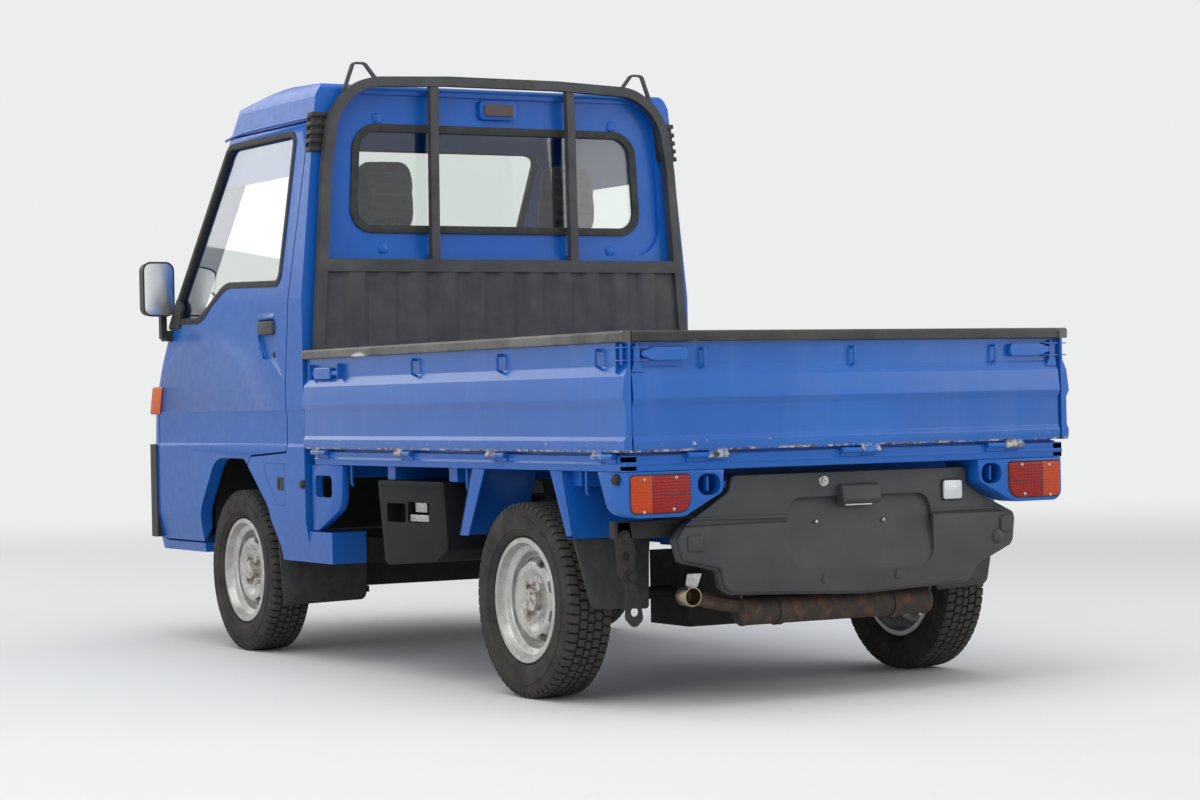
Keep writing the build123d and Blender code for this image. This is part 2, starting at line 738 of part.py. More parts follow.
with BuildPart() as cross_members:
    for y, z in ((-1500.0, frame_front_z), (-480.0, frame_front_z), (60.0, frame_rear_z), (700.0, frame_rear_z)):
        with Locations((0, y, z + frame_high / 2)):
            Box(2 * frame_x, 70, 60)
    with Locations((0, rear_member_y, frame_rear_z + frame_high / 2)):
        Box(2 * frame_x, 40, 60)
    for x in lid_hangers:
        with BuildSketch(Plane.YZ.offset(x)):
            with Locations((lid_hinge_y, lid_hinge_z)):
                Circle(10)
            with BuildLine():
                Polyline(
                    (lid_hinge_y - 9, lid_hinge_z - 4), (lid_hinge_y + 9, lid_hinge_z + 4),
                    (rear_member_y + 20, frame_rear_z + 30), (rear_member_y - 10, frame_rear_z + 30), close=True,
                )
            make_face()
        extrude(amount=8)
        with BuildSketch(Plane.YZ.offset(x - 45)):
            with Locations((lid_hinge_y, lid_hinge_z)):
                Circle(lid_pin_r)
        extrude(amount=50)
save(cross_members, "cross_members")

# Front axle beam with its lower arms, and knuckles that turn about an inclined strut
with BuildPart() as front_axle:
    with Locations((0, front_axle_y, 235)):
        Box(2 * (frame_x + 20), 90, 90)
    for side in (1, -1):
        with BuildSketch(Plane.XY.offset(ball_z - 20)):
            add(outline([
                (side * 250, front_axle_y - 70, 0), (side * (ball_x + 10), front_axle_y - 24, 15),
                (side * (ball_x + 10), front_axle_y + 24, 15), (side * 250, front_axle_y + 70, 0),
            ]))
        extrude(amount=20)
save(front_axle, "front_axle")

disc_x = hub_x + 22.0
for name, side in (("left", 1), ("right", -1)):
    lean = Vector(side * (strut_top_x - ball_x), 0, strut_top_z - ball_z)
    strut_plane = Plane(origin=(side * ball_x, front_axle_y, ball_z), x_dir=(0, 1, 0), z_dir=lean)
    with BuildPart() as knuckle:
        with Locations((side * (ball_x + 6), front_axle_y, tyre_radius)):
            Box(44, 70, 2 * (tyre_radius - ball_z - 14))
        with BuildSketch(strut_plane.offset(stud_r * strut_lean + run)):
            Circle(stud_r)
        extrude(amount=60)
        with BuildSketch(strut_plane.offset(50)):
            Circle(24)
        extrude(amount=lean.length - 60)
        with BuildSketch(strut_plane.offset(lean.length - 50)):
            Circle(spring_r)
        extrude(amount=50 - spring_r * strut_lean)
        with BuildSketch(Plane.YZ.offset(side * ball_x)):
            with Locations((front_axle_y, tyre_radius)):
                Circle(20)
        extrude(amount=side * (disc_x - ball_x))
    save(knuckle, "knuckle_" + name)

# Wheels and tyres: one revolved section each, rows of (out from the mid plane, radius, corner)
rim_rows = [
    (-52, 152, 0), (-52, 166, 3), (-44, 166, 3), (-40, 154, 5), (-14, 150, 4), (-6, 132, 6), (24, 132, 6),
    (32, 151, 5), (44, 154, 4), (50, 166, 3), (58, 166, 3), (58, 152, 0), (46, 148, 4), (36, 144, 6),
    (28, 127, 6), (-12, 127, 6), (-20, 144, 5), (-44, 148, 4),
]
disc_rows = [
    (10, 127, 0), (14, 112, 10), (34, 100, 14), (34, 82, 10), (22, 62, 10), (22, 20.3, 0), (14, 20.3, 0),
    (14, 64, 8), (26, 84, 8), (26, 96, 10), (6, 108, 10), (2, 127, 0),
]
drum_rows = [(14, 22, 0), (14, 98, 6), (-30, 98, 6), (-30, 20.3, 0), (14, 20.3, 0)]
half_tyre = tyre_width / 2
tyre_rows = [
    (-54, 168, 3), (-68, 190, 12), (-half_tyre, 215, 25), (-64, 250, 10), (-54, tyre_radius, 8),
    (54, tyre_radius, 8), (64, 250, 10), (half_tyre, 215, 25), (68, 190, 12),
    (60, 168, 3), (50, 168, 0), (46, 149, 0), (28, 149, 0), (28, 160, 0), (-12, 160, 0), (-12, 148, 0),
    (-44, 148, 0), (-46, 168, 0),
]
wheel_places = (
    ("front_left", 1, front_axle_y), ("front_right", -1, front_axle_y),
    ("rear_left", 1, rear_axle_y), ("rear_right", -1, rear_axle_y),
)
for name, side, y in wheel_places:
    spin = Axis((0, y, tyre_radius), (1, 0, 0))
    base = Plane(origin=(0, y, tyre_radius), x_dir=(1, 0, 0), z_dir=(0, -1, 0))
    with BuildPart() as wheel:
        for rows in (rim_rows, disc_rows):
            with BuildSketch(base):
                add(outline([(side * (hub_x + a), r, c) for a, r, c in rows]))
            revolve(axis=spin)
        with BuildSketch(base):
            add(outline([(side * (hub_x + a), r, 0) for a, r, c in drum_rows]))
        revolve(axis=spin)
        with BuildSketch(Plane(origin=(side * hub_x, y, tyre_radius), x_dir=(0, 1, 0), z_dir=(side, 0, 0))):
            with PolarLocations(106, 8, start_angle=22.5):
                RectangleRounded(20, 36, 8)
        extrude(amount=50, mode=Mode.SUBTRACT)
        with BuildSketch(Plane(origin=(side * (hub_x + 16), y, tyre_radius), x_dir=(0, 1, 0), z_dir=(side, 0, 0))):
            Circle(30)
        extrude(amount=24)
        with BuildSketch(Plane(origin=(side * (hub_x + 16), y, tyre_radius), x_dir=(0, 1, 0), z_dir=(side, 0, 0))):
            with PolarLocations(50, 4, start_angle=45):
                RegularPolygon(11, 6)
        extrude(amount=20)
        with BuildSketch(Plane(origin=(side * (hub_x - 40), y, tyre_radius), x_dir=(0, 1, 0), z_dir=(side, 0, 0))):
            Circle(20.06)
        extrude(amount=62, mode=Mode.SUBTRACT)
    save(wheel, "wheel_" + name)
    with BuildPart() as tyre:
        with BuildSketch(base):
            add(outline([(side * (hub_x + a), r, c) for a, r, c in tyre_rows]))
        revolve(axis=spin)
        add(wheel.part, mode=Mode.SUBTRACT)
    save(tyre, "tyre_" + name)

# Rear arms, half shafts and springs
with BuildPart() as rear_axle:
    for side in (1, -1):
        with BuildSketch(Plane.XY.offset(215)):
            add(outline([(side * 300, 700, 20), (side * 380, 700, 20), (side * 540, 1010, 20), (side * 540, 1095, 20),
                     (side * 460, 1095, 20), (side * 300, 780, 20)]))
        extrude(amount=60)
        with BuildSketch(Plane.YZ.offset(side * 500)):
            with Locations((rear_axle_y, tyre_radius)):
                Circle(38)
        extrude(amount=side * 62)
        with BuildSketch(Plane.YZ.offset(side * 540)):
            with Locations((rear_axle_y, tyre_radius)):
                Circle(20)
        extrude(amount=side * (disc_x - 540))
        with BuildSketch(Plane.YZ.offset(side * 200)):
            with Locations((rear_axle_y, tyre_radius)):
                Circle(17)
        extrude(amount=side * 320)
        with Locations((side * 330, 740, 350)):
            Box(50, 60, 160)
    with Locations((0, rear_axle_y, tyre_radius + 10)):
        Box(420, 200, 200)
save(rear_axle, "rear_axle")

with BuildPart() as engine:
    with Locations((0, 1345, 380)):
        Box(420, 270, 260)
    with Locations((0, 1345, frame_rear_z + frame_high / 2)):
        Box(2 * (frame_x - run), 60, 40)
save(engine, "engine")

with BuildPart() as exhaust:
    with BuildSketch(Plane.YZ.offset(-frame_x - 10)):
        with Locations((1525, 235)):
            Ellipse(38, 42)
    extrude(amount=2 * frame_x + 20)
    for side in (1, -1):
        with Locations((side * (frame_x + 6), 1525, (235 + frame_rear_z - run) / 2)):
            Box(8, 36, frame_rear_z - run - 235)
    with BuildSketch(Plane.XZ.offset(-1560)):
        with Locations((480, 286)):
            Circle(25)
            Circle(21.5, mode=Mode.SUBTRACT)
    extrude(amount=-52)
    with BuildSketch(Plane.YZ.offset(295)):
        with Locations((1530, 255)):
            Circle(20)
    extrude(amount=190)
    with Locations((480, 1552, 280)):
        Box(40, 40, 50)
save(exhaust, "exhaust")

# Rear cover: a moulded lid that swings down about two pins at its foot
lid_rows = both_sides([
    (395, 586, 12), (404, 520, 12), (470, 478, 12), (575, 474, 12), (584, 420, 20), (500, 400, 30),
    (432, 380, 20), (426, 288, 20),
])
with BuildPart() as engine_lid:
    with BuildSketch(Plane.XZ.offset(-lid_face)):
        add(outline(lid_rows))
    extrude(amount=lid_thick)
    with BuildSketch(Plane.XZ.offset(-lid_face)):
        with Locations((-32, 448)):
            RectangleRounded(478, 186, 40)
    extrude(amount=16, mode=Mode.SUBTRACT)
    for x in lid_hangers:
        with BuildSketch(Plane.YZ.offset(x - 40)):
            with Locations((lid_hinge_y, lid_hinge_z)):
                Circle(11)
            with Locations((lid_hinge_y + 8, lid_hinge_z + 2)):
                Rectangle(16, 18)
        extrude(amount=36)
        with BuildSketch(Plane.YZ.offset(x - 40)):
            with Locations((lid_hinge_y, lid_hinge_z)):
                Circle(lid_pin_r + 0.05)
        extrude(amount=36, mode=Mode.SUBTRACT)
    with BuildSketch(Plane.XZ.offset(-lid_face + 20)):
        with Locations((-32, 529)):
            RectangleRounded(120, 54, 10)
    extrude(amount=-34)
save(engine_lid, "engine_lid")
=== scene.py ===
import math

import bmesh
import bpy
from mathutils import Matrix, Vector


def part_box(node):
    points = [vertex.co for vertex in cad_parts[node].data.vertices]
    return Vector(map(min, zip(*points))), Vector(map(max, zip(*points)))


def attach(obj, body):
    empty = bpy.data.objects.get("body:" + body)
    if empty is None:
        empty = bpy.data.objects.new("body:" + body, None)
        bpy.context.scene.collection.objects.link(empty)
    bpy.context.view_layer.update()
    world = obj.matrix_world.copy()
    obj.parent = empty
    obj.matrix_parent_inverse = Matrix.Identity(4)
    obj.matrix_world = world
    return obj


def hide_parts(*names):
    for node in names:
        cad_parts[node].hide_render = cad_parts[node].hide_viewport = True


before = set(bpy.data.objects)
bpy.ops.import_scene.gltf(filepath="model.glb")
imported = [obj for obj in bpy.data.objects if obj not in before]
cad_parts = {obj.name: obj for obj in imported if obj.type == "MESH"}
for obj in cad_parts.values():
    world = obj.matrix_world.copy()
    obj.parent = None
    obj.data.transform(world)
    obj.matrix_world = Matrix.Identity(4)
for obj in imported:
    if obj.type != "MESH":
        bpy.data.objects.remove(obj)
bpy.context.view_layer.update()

# Places shared with the solid model, in metres
FRONT_AXLE_Y, REAR_AXLE_Y = -0.836, 1.049
HUB_X, HUB_Z, TYRE_R = 0.600, 0.258, 0.258
WHEELS = (
    ("front_left", 1, FRONT_AXLE_Y), ("front_right", -1, FRONT_AXLE_Y),
    ("rear_left", 1, REAR_AXLE_Y), ("rear_right", -1, REAR_AXLE_Y),
)


def linear(hex_colour, alpha=1.0):
    """An sRGB hex colour as the linear values that a shader takes."""
    parts = [int(hex_colour[i:i + 2], 16) / 255 for i in (0, 2, 4)]
    return tuple(c / 12.92 if c <= 0.04045 else ((c + 0.055) / 1.055) ** 2.4 for c in parts) + (alpha,)


def add_node(tree, kind, values=None, links=None, **settings):
    """Add a shader node with its settings, its input values and the sockets that feed it."""
    made = tree.nodes.new("ShaderNode" + kind)
    for key, value in settings.items():
        setattr(made, key, value)
    for key, value in (values or {}).items():
        made.inputs[key].default_value = value
    for key, source in (links or {}).items():
        tree.links.new(source, made.inputs[key])
    return made


def new_finish(name):
    """An empty node tree with its object coordinates and its output."""
    finish = bpy.data.materials.new(name)
    finish.use_nodes = True
    tree = finish.node_tree
    tree.nodes.clear()
    coords = add_node(tree, "TexCoord").outputs["Object"]
    return finish, tree, coords


def surface(tree, values, links):
    """The principled surface, linked to the output."""
    shader = add_node(tree, "BsdfPrincipled", values, links)
    add_node(tree, "OutputMaterial", None, {"Surface": shader.outputs[0]})
    return shader


def patches(tree, coords, scale, low, high, detail=4.0, roughness=0.6, stretch=(1, 1, 1)):
    """A mask from 0 to 1 of soft noise patches; scale is patches per metre."""
    placed = add_node(tree, "Mapping", {"Scale": stretch}, {"Vector": coords})
    noise = add_node(tree, "TexNoise", {"Scale": scale, "Detail": detail, "Roughness": roughness},
                     {"Vector": placed.outputs[0]})
    ramp = add_node(tree, "MapRange", {"From Min": low, "From Max": high}, {"Value": noise.outputs["Fac"]})
    return ramp.outputs[0]


def blended(tree, mask, first, second, share=1.0):
    """One colour laid over another by a share of a mask; each is a socket or a hex colour."""
    if share < 1.0:
        mask = times(tree, mask, share)
    mix = add_node(tree, "Mix", None, {0: mask}, data_type="RGBA")
    for index, colour in ((6, first), (7, second)):
        if isinstance(colour, str):
            mix.inputs[index].default_value = linear(colour)
        else:
            tree.links.new(colour, mix.inputs[index])
    return mix.outputs[2]


def reckoned(tree, operation, first, second):
    """One sum of two numbers or sockets."""
    made = add_node(tree, "Math", None, None, operation=operation)
    for index, value in enumerate((first, second)):
        if isinstance(value, (int, float)):
            made.inputs[index].default_value = value
        else:
            tree.links.new(value, made.inputs[index])
    return made.outputs[0]


def times(tree, first, second):
    """The product of two numbers or sockets."""
    return reckoned(tree, "MULTIPLY", first, second)


def band(tree, value, low, high):
    """A value stretched from 0 at low to 1 at high, held in between."""
    ramp = add_node(tree, "MapRange", {"From Min": low, "From Max": high}, {"Value": value},
                    interpolation_type="SMOOTHSTEP")
    return ramp.outputs[0]


def bumped(tree, height, depth, strength=1.0):
    """A surface's direction, tilted by a height."""
    return add_node(tree, "Bump", {"Strength": strength, "Distance": depth}, {"Height": height}).outputs[0]


def ribbing(tree, coords, scale, axis, waver=0.0):
    """The height of fine ridges across an axis."""
    return add_node(tree, "TexWave", {"Scale": scale, "Distortion": waver}, {"Vector": coords},
                    bands_direction=axis).outputs["Fac"]


def grained(tree, coords, size, depth, detail=2.0):
    """A bump of fine grain; size is the grain in metres and depth its height."""
    noise = add_node(tree, "TexNoise", {"Scale": 1.0 / size, "Detail": detail}, {"Vector": coords})
    return bumped(tree, noise.outputs["Fac"], depth)


def blue_enamel():
    """Baked enamel on pressed steel: a smooth gloss coat, dulled by years and dusty low down."""
    finish, tree, coords = new_finish("blue_enamel")
    up = add_node(tree, "SeparateXYZ", None, {0: coords}).outputs[2]
    faded = patches(tree, coords, 2.2, 0.35, 0.7, 3.0)
    colour = blended(tree, faded, "0c55aa", "115db2")
    streaks = patches(tree, coords, 7.0, 0.5, 0.8, 5.0, 0.65, (1, 1, 0.25))
    colour = blended(tree, streaks, colour, "7f93bd", 0.04)
    low = band(tree, up, 0.62, 0.28)
    dirt = times(tree, low, patches(tree, coords, 14.0, 0.35, 0.75, 6.0))
    colour = blended(tree, dirt, colour, "4a4a48", 0.22)
    rough = add_node(tree, "MapRange", {"From Min": 0.3, "From Max": 0.75, "To Min": 0.30, "To Max": 0.40},
                     {"Value": patches(tree, coords, 30.0, 0.2, 0.8, 5.0)}).outputs[0]
    surface(tree, {"IOR": 1.38, "Coat Weight": 0.08, "Coat Roughness": 0.12},
            {"Base Color": colour, "Roughness": rough, "Normal": grained(tree, coords, 0.004, 0.00003)})
    return finish


def gate_enamel():
    """The same enamel on the fold-down sides, chipped to bare and rusting steel along the lowest ridge."""
    finish, tree, coords = new_finish("gate_enamel_chipped")
    up = add_node(tree, "SeparateXYZ", None, {0: coords}).outputs[2]
    faded = patches(tree, coords, 2.0, 0.35, 0.7, 3.0)
    colour = blended(tree, faded, "1157aa", "1861b6")
    streaks = patches(tree, coords, 9.0, 0.5, 0.8, 5.0, 0.65, (1, 1, 0.2))
    colour = blended(tree, streaks, colour, "8497c0", 0.1)
    near = times(tree, band(tree, up, 0.6815, 0.6765), band(tree, up, 0.6635, 0.6685))
    chips = times(tree, near, patches(tree, coords, 26.0, 0.60, 0.66, 8.0, 0.7))
    rusting = patches(tree, coords, 18.0, 0.44, 0.52, 8.0, 0.7)
    foot = times(tree, band(tree, up, 0.659, 0.653), rusting)
    chips = reckoned(tree, "MAXIMUM", chips, foot)
    bare = blended(tree, patches(tree, coords, 60.0, 0.4, 0.6), "b9b7b2", "3a2c22")
    colour = blended(tree, chips, colour, bare)
    rough = add_node(tree, "MapRange", {"To Min": 0.27, "To Max": 0.8}, {"Value": chips}).outputs[0]
    surface(tree, {"IOR": 1.45, "Coat Weight": 0.2, "Coat Roughness": 0.15},
            {"Base Color": colour, "Roughness": rough, "Normal": grained(tree, coords, 0.004, 0.00006)})
    return finish


def rack_paint():
    """Matt black paint over steel, chalky on its upper faces, with small rust freckles."""
    finish, tree, coords = new_finish("rack_matt_paint")
    chalk = patches(tree, coords, 12.0, 0.35, 0.75, 6.0)
    colour = blended(tree, chalk, "333334", "585856", 0.5)
    freckles = patches(tree, coords, 55.0, 0.66, 0.72, 3.0)
    colour = blended(tree, freckles, colour, "5a3a26", 0.6)
    surface(tree, {"Roughness": 0.62}, {"Base Color": colour, "Normal": grained(tree, coords, 0.003, 0.0001)})
    return finish


def worn_capping(name, sheltered, rubbed):
    """Extruded vinyl capping, rubbed paler along its top, with pale nicks and one torn place."""
    finish, tree, coords = new_finish(name)
    worn = patches(tree, coords, 6.0, 0.38, 0.62, 8.0, 0.7)
    colour = blended(tree, worn, sheltered, rubbed)
    nicks = patches(tree, coords, 48.0, 0.69, 0.72, 4.0, 0.7)
    placed = add_node(tree, "Mapping", {"Location": (-0.69, -0.135, -0.918)}, {"Vector": coords})
    squeezed = add_node(tree, "VectorMath", {1: (1.0, 0.3, 1.0)}, {0: placed.outputs[0]},
                        operation="MULTIPLY")
    near = add_node(tree, "VectorMath", None, {0: squeezed.outputs[0]}, operation="LENGTH").outputs["Value"]
    torn = times(tree, band(tree, near, 0.020, 0.010), patches(tree, coords, 60.0, 0.3, 0.45))
    bared = reckoned(tree, "MAXIMUM", times(tree, nicks, 0.6), torn)
    colour = blended(tree, bared, colour, "d6d4cf")
    surface(tree, {"Roughness": 0.5},
            {"Base Color": colour, "Normal": grained(tree, coords, 0.006, 0.0003, 5.0)})
    return finish


def grained_plastic(name, shade, dust, grit=0.0014, gloss=0.5):
    """Injection-moulded polypropylene with a sparked grain, greyed by sun and road dust."""
    finish, tree, coords = new_finish(name)
    film = patches(tree, coords, 8.0, 0.3, 0.8, 6.0)
    colour = blended(tree, film, shade, dust, 0.55)
    surface(tree, {"Roughness": 0.58, "Specular IOR Level": gloss},
            {"Base Color": colour, "Normal": grained(tree, coords, grit, 0.00012)})
    return finish


def toughened_glass():
    """Float glass, clear with a faint green body colour."""
    finish, tree, coords = new_finish("toughened_glass")
    film = patches(tree, coords, 9.0, 0.4, 0.8, 5.0)
    rough = times(tree, film, 0.04)
    surface(tree, {"Base Color": linear("f4f8f6"), "IOR": 1.5, "Transmission Weight": 1.0},
            {"Roughness": rough})
    return finish


def moulded_rubber(name, shade, dust):
    """Vulcanised rubber: dull black with a grey bloom."""
    finish, tree, coords = new_finish(name)
    bloom = patches(tree, coords, 30.0, 0.4, 0.8, 5.0)
    colour = blended(tree, bloom, shade, dust, 0.6)
    surface(tree, {"Roughness": 0.7}, {"Base Color": colour, "Normal": grained(tree, coords, 0.002, 0.0001)})
    return finish


def from_axle(tree, coords, axle_y):
    """Distance from a wheel's axle, as a socket."""
    placed = add_node(tree, "Mapping", {"Location": (0, -axle_y, -HUB_Z), "Scale": (0, 1, 1)},
                      {"Vector": coords})
    return add_node(tree, "VectorMath", None, {0: placed.outputs[0]}, operation="LENGTH").outputs["Value"]


def tyre_rubber(axle_y):
    """Carbon-black tread and sidewall: painted shade in the grooves, painted paler block tops, dusted
    brown-grey on the wall.
    """
    finish, tree, coords = new_finish("tyre_rubber")
    radius = from_axle(tree, coords, axle_y)
    dust = times(tree, patches(tree, coords, 16.0, 0.3, 0.75, 6.0), 0.6)
    colour = blended(tree, dust, "2d2c2a", "55514b")
    # Painted light: the block tops at the crown are painted paler as a highlight, which leaves the grooves
    # darker as painted shade
    crown = band(tree, radius, 0.253, 0.257)
    colour = blended(tree, crown, colour, "4a4946", 0.6)
    surface(tree, {"Roughness": 0.85, "Specular IOR Level": 0.2},
            {"Base Color": colour, "Normal": grained(tree, coords, 0.0025, 0.0002, 4.0)})
    return finish


def wheel_silver(axle_y):
    """Aluminium-flake lacquer on pressed steel, rusting through round the hub and at the edges."""
    finish, tree, coords = new_finish("wheel_silver_lacquer")
    radius = from_axle(tree, coords, axle_y)
    grime = patches(tree, coords, 22.0, 0.4, 0.75, 6.0)
    colour = blended(tree, grime, "c3c3c0", "8b857c", 0.5)
    hub = band(tree, radius, 0.085, 0.03)
    specks = patches(tree, coords, 42.0, 0.5, 0.62, 8.0, 0.75)
    rust_mask = times(tree, reckoned(tree, "ADD", times(tree, hub, 0.9), 0.22),
                         specks)
    rust = blended(tree, patches(tree, coords, 90.0, 0.4, 0.6), "5c3720", "8a5a34")
    colour = blended(tree, rust_mask, colour, rust)
    metal = add_node(tree, "MapRange", {"To Min": 0.65, "To Max": 0.0}, {"Value": rust_mask}).outputs[0]
    rough = add_node(tree, "MapRange", {"To Min": 0.34, "To Max": 0.85}, {"Value": rust_mask}).outputs[0]
    surface(tree, {}, {"Base Color": colour, "Metallic": metal, "Roughness": rough,
                       "Normal": grained(tree, coords, 0.003, 0.00012, 4.0)})
    return finish


def underbody(name, shade, rust_share):
    """Black wax-coated steel under the vehicle, dusty and rusting."""
    finish, tree, coords = new_finish(name)
    dust = patches(tree, coords, 10.0, 0.3, 0.7, 6.0)
    colour = blended(tree, dust, shade, "3b3733", 0.5)
    rust = patches(tree, coords, 24.0, 0.62 - 0.2 * rust_share, 0.7, 8.0, 0.7)
    colour = blended(tree, times(tree, rust, 0.4 + 0.6 * rust_share), colour, "6a4227")
    surface(tree, {"Roughness": 0.75},
            {"Base Color": colour, "Normal": grained(tree, coords, 0.004, 0.0004, 5.0)})
    return finish


def lamp_lens():
    """Injection-moulded acrylic: red with an amber outer section, ribbed inside."""
    finish, tree, coords = new_finish("lamp_acrylic")
    split = add_node(tree, "SeparateXYZ", None, {0: coords})
    across = reckoned(tree, "ABSOLUTE", split.outputs[0], 0.0)
    amber = band(tree, across, 0.6085, 0.6095)
    colour = blended(tree, amber, "930202", "c04000")
    ribs = ribbing(tree, coords, 55.0, "X")
    rows = ribbing(tree, coords, 40.0, "Z")
    height = reckoned(tree, "ADD", ribs, rows)
    bump = bumped(tree, height, 0.001, 0.5)
    dark = blended(tree, ribs, colour, "5a0704", 0.35)
    surface(tree, {"IOR": 1.36, "Roughness": 0.25, "Coat Weight": 0.15, "Coat Roughness": 0.05},
            {"Base Color": dark, "Normal": bump})
    return finish


def clear_lens():
    """Clear acrylic over a bright reflector bowl."""
    finish, tree, coords = new_finish("clear_acrylic")
    ribs = ribbing(tree, coords, 45.0, "X")
    bump = bumped(tree, ribs, 0.001, 0.6)
    surface(tree, {"Base Color": linear("c9cdd0"), "Metallic": 0.35, "Roughness": 0.12, "Coat Weight": 1.0},
            {"Normal": bump})
    return finish


def bright_metal(name, shade, rough, spotted=0.5):
    """Zinc-plated or polished steel, spotted where it has dulled."""
    finish, tree, coords = new_finish(name)
    spots = patches(tree, coords, 80.0, 0.45, 0.7, 5.0)
    colour = blended(tree, times(tree, spots, spotted), shade, "6b6560")
    surface(tree, {"Metallic": 1.0, "Roughness": rough}, {"Base Color": colour})
    return finish


def seat_cloth():
    """Woven polyester over foam, a plain weave with a 1.5 mm thread drawn at 3 mm so that it shows."""
    finish, tree, coords = new_finish("seat_woven_polyester")
    warp = ribbing(tree, coords, 105.0, "X", 0.4)
    weft = ribbing(tree, coords, 105.0, "Z", 0.4)
    thread = times(tree, warp, weft)
    colour = blended(tree, thread, "2b2c30", "4a4c52")
    bump = bumped(tree, thread, 0.0006, 0.4)
    surface(tree, {"Roughness": 0.9, "Sheen Weight": 0.3}, {"Base Color": colour, "Normal": bump})
    return finish


BLUE, GATE_BLUE, RACK = blue_enamel(), gate_enamel(), rack_paint()
CAP_SIDE = worn_capping("capping_vinyl_rubbed", "3c3c3b", "66645f")
CAP_TAIL = worn_capping("capping_vinyl", "1d1d1e", "3b3936")
COVER = grained_plastic("cover_polypropylene", "141516", "252627", gloss=0.15)
LID = grained_plastic("lid_polypropylene", "313233", "4c4c4c")
TRIM = grained_plastic("trim_abs", "1b1b1c", "3a3a3a", 0.001)
DASH = grained_plastic("dash_vinyl", "2c2d30", "3a3b3e", 0.0016)
GLASS = toughened_glass()
SEAL = moulded_rubber("seal_epdm", "232322", "45443f")
FLAP = moulded_rubber("flap_pvc", "303030", "4c4b48")
MAT = moulded_rubber("floor_mat_rubber", "1c1c1d", "2f2e2c")
CHASSIS = underbody("chassis_wax_coat", "151516", 0.2)
RUSTY = underbody("exhaust_scaled_steel", "2a241f", 0.7)
LENS, CLEAR = lamp_lens(), clear_lens()
AMBER = grained_plastic("marker_acrylic_amber", "c8550f", "d66a1c", 0.004)
SMOKED = grained_plastic("smoked_acrylic_brown", "4b3c38", "6e605a", 0.004)
ZINC = bright_metal("zinc_plate", "b4b4b1", 0.35)
MIRROR = bright_metal("silvered_glass", "f4f6f6", 0.28, 0.06)
TIP = bright_metal("stainless_tip_browned", "b5a68c", 0.3)
CLOTH = seat_cloth()
TYRE = {y: tyre_rubber(y) for y in (FRONT_AXLE_Y, REAR_AXLE_Y)}
SILVER = {y: wheel_silver(y) for y in (FRONT_AXLE_Y, REAR_AXLE_Y)}

NODE_FINISH = {
    BLUE: "cab_roof cab_front cab_back door_left door_right deck lamp_housings deck_brackets",
    GATE_BLUE: "gate_left gate_right tailgate", RACK: "rack headboard",
    CAP_SIDE: "gate_cap_left gate_cap_right",
    CAP_TAIL: "tailgate_cap", TRIM: "front_bumper mirror_left mirror_right", LID: "engine_lid",
    COVER: "fuel_tank", GLASS: "cab_glass door_glass_left door_glass_right", DASH: "dashboard steering_wheel",
    MAT: "cab_floor", FLAP: "mud_flaps", LENS: "tail_lamps", CLEAR: "headlamps", RUSTY: "exhaust",
    CHASSIS: "chassis_rails cross_members front_axle knuckle_left knuckle_right rear_axle engine",
    CLOTH: "seat_left seat_right",
}
painted = [(name, finish) for finish, names in NODE_FINISH.items() for name in names.split()]
for place, side, axle_y in WHEELS:
    painted += [("wheel_" + place, SILVER[axle_y]), ("tyre_" + place, TYRE[axle_y])]
for name, finish in painted:
    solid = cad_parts[name]
    for index in range(len(solid.data.materials)):
        solid.data.materials[index] = finish


SIDES = (("left", 1), ("right", -1))


# Shapes below are drawn in millimetres, and each piece is brought to metres as it is made
def piece(bm, name, finish, body="chassis", stands_for=(), unit=0.001, crease=0.6):
    """Turn a bmesh into a finished piece that rides on a body, with its sharp folds kept sharp."""
    bmesh.ops.scale(bm, verts=bm.verts, vec=(unit, unit, unit))
    bmesh.ops.recalc_face_normals(bm, faces=bm.faces)
    for face in bm.faces:
        face.smooth = True
    mesh = bpy.data.meshes.new(name)
    bm.to_mesh(mesh)
    bm.free()
    mesh.set_sharp_from_angle(angle=crease)
    mesh.materials.append(finish)
    made = bpy.data.objects.new(name, mesh)
    bpy.context.scene.collection.objects.link(made)
    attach(made, body)
    if stands_for:
        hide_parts(*stands_for)
    return made


def pair(name, bm, finish, body="chassis", stands_for="", crease=0.6):
    """A piece for each side, drawn for the left and turned over for the right.

    A body or a node that ends in _ has one for each side. The left piece stands for a node that spans both.
    """
    for word, side in SIDES:
        shape = on_side(side, bm.copy())
        if stands_for.endswith("_"):
            nodes = (stands_for + word,)
        else:
            nodes = (stands_for,) if stands_for and side > 0 else ()
        piece(shape, name + word, finish, body + word if body.endswith("_") else body, nodes,
              crease=crease)
    bm.free()


def tangent(rows, row):
    """How far from its corner a rounding starts, no more than the shorter neighbouring run allows."""
    index = rows.index(row)
    here = Vector(row[:2])
    runs = [Vector(rows[index - 1][:2]) - here, Vector(rows[(index + 1) % len(rows)][:2]) - here]
    half = runs[0].angle(runs[1]) / 2
    return min(row[2] / max(math.tan(half), 0.05), 0.48 * min(run.length for run in runs))


def rounded_face(bm, rows, segments=6):
    """A flat face in the XY plane through rows of (x, y, corner radius)."""
    corners = [bm.verts.new((x, y, 0)) for x, y, r in rows]
    bm.faces.new(corners)
    for corner, row in zip(corners, rows):
        if row[2]:
            bmesh.ops.bevel(bm, geom=[corner], offset=tangent(rows, row), offset_type="OFFSET",
                            segments=segments, profile=0.5, affect="VERTICES", material=-1)
    bmesh.ops.remove_doubles(bm, verts=bm.verts, dist=0.01)
    return bm.faces[:]


def lifted(bm, faces, height):
    """Flat faces given thickness."""
    raised = bmesh.ops.extrude_face_region(bm, geom=faces)["geom"]
    bmesh.ops.translate(bm, verts=[v for v in raised if isinstance(v, bmesh.types.BMVert)],
                        vec=(0, 0, height))


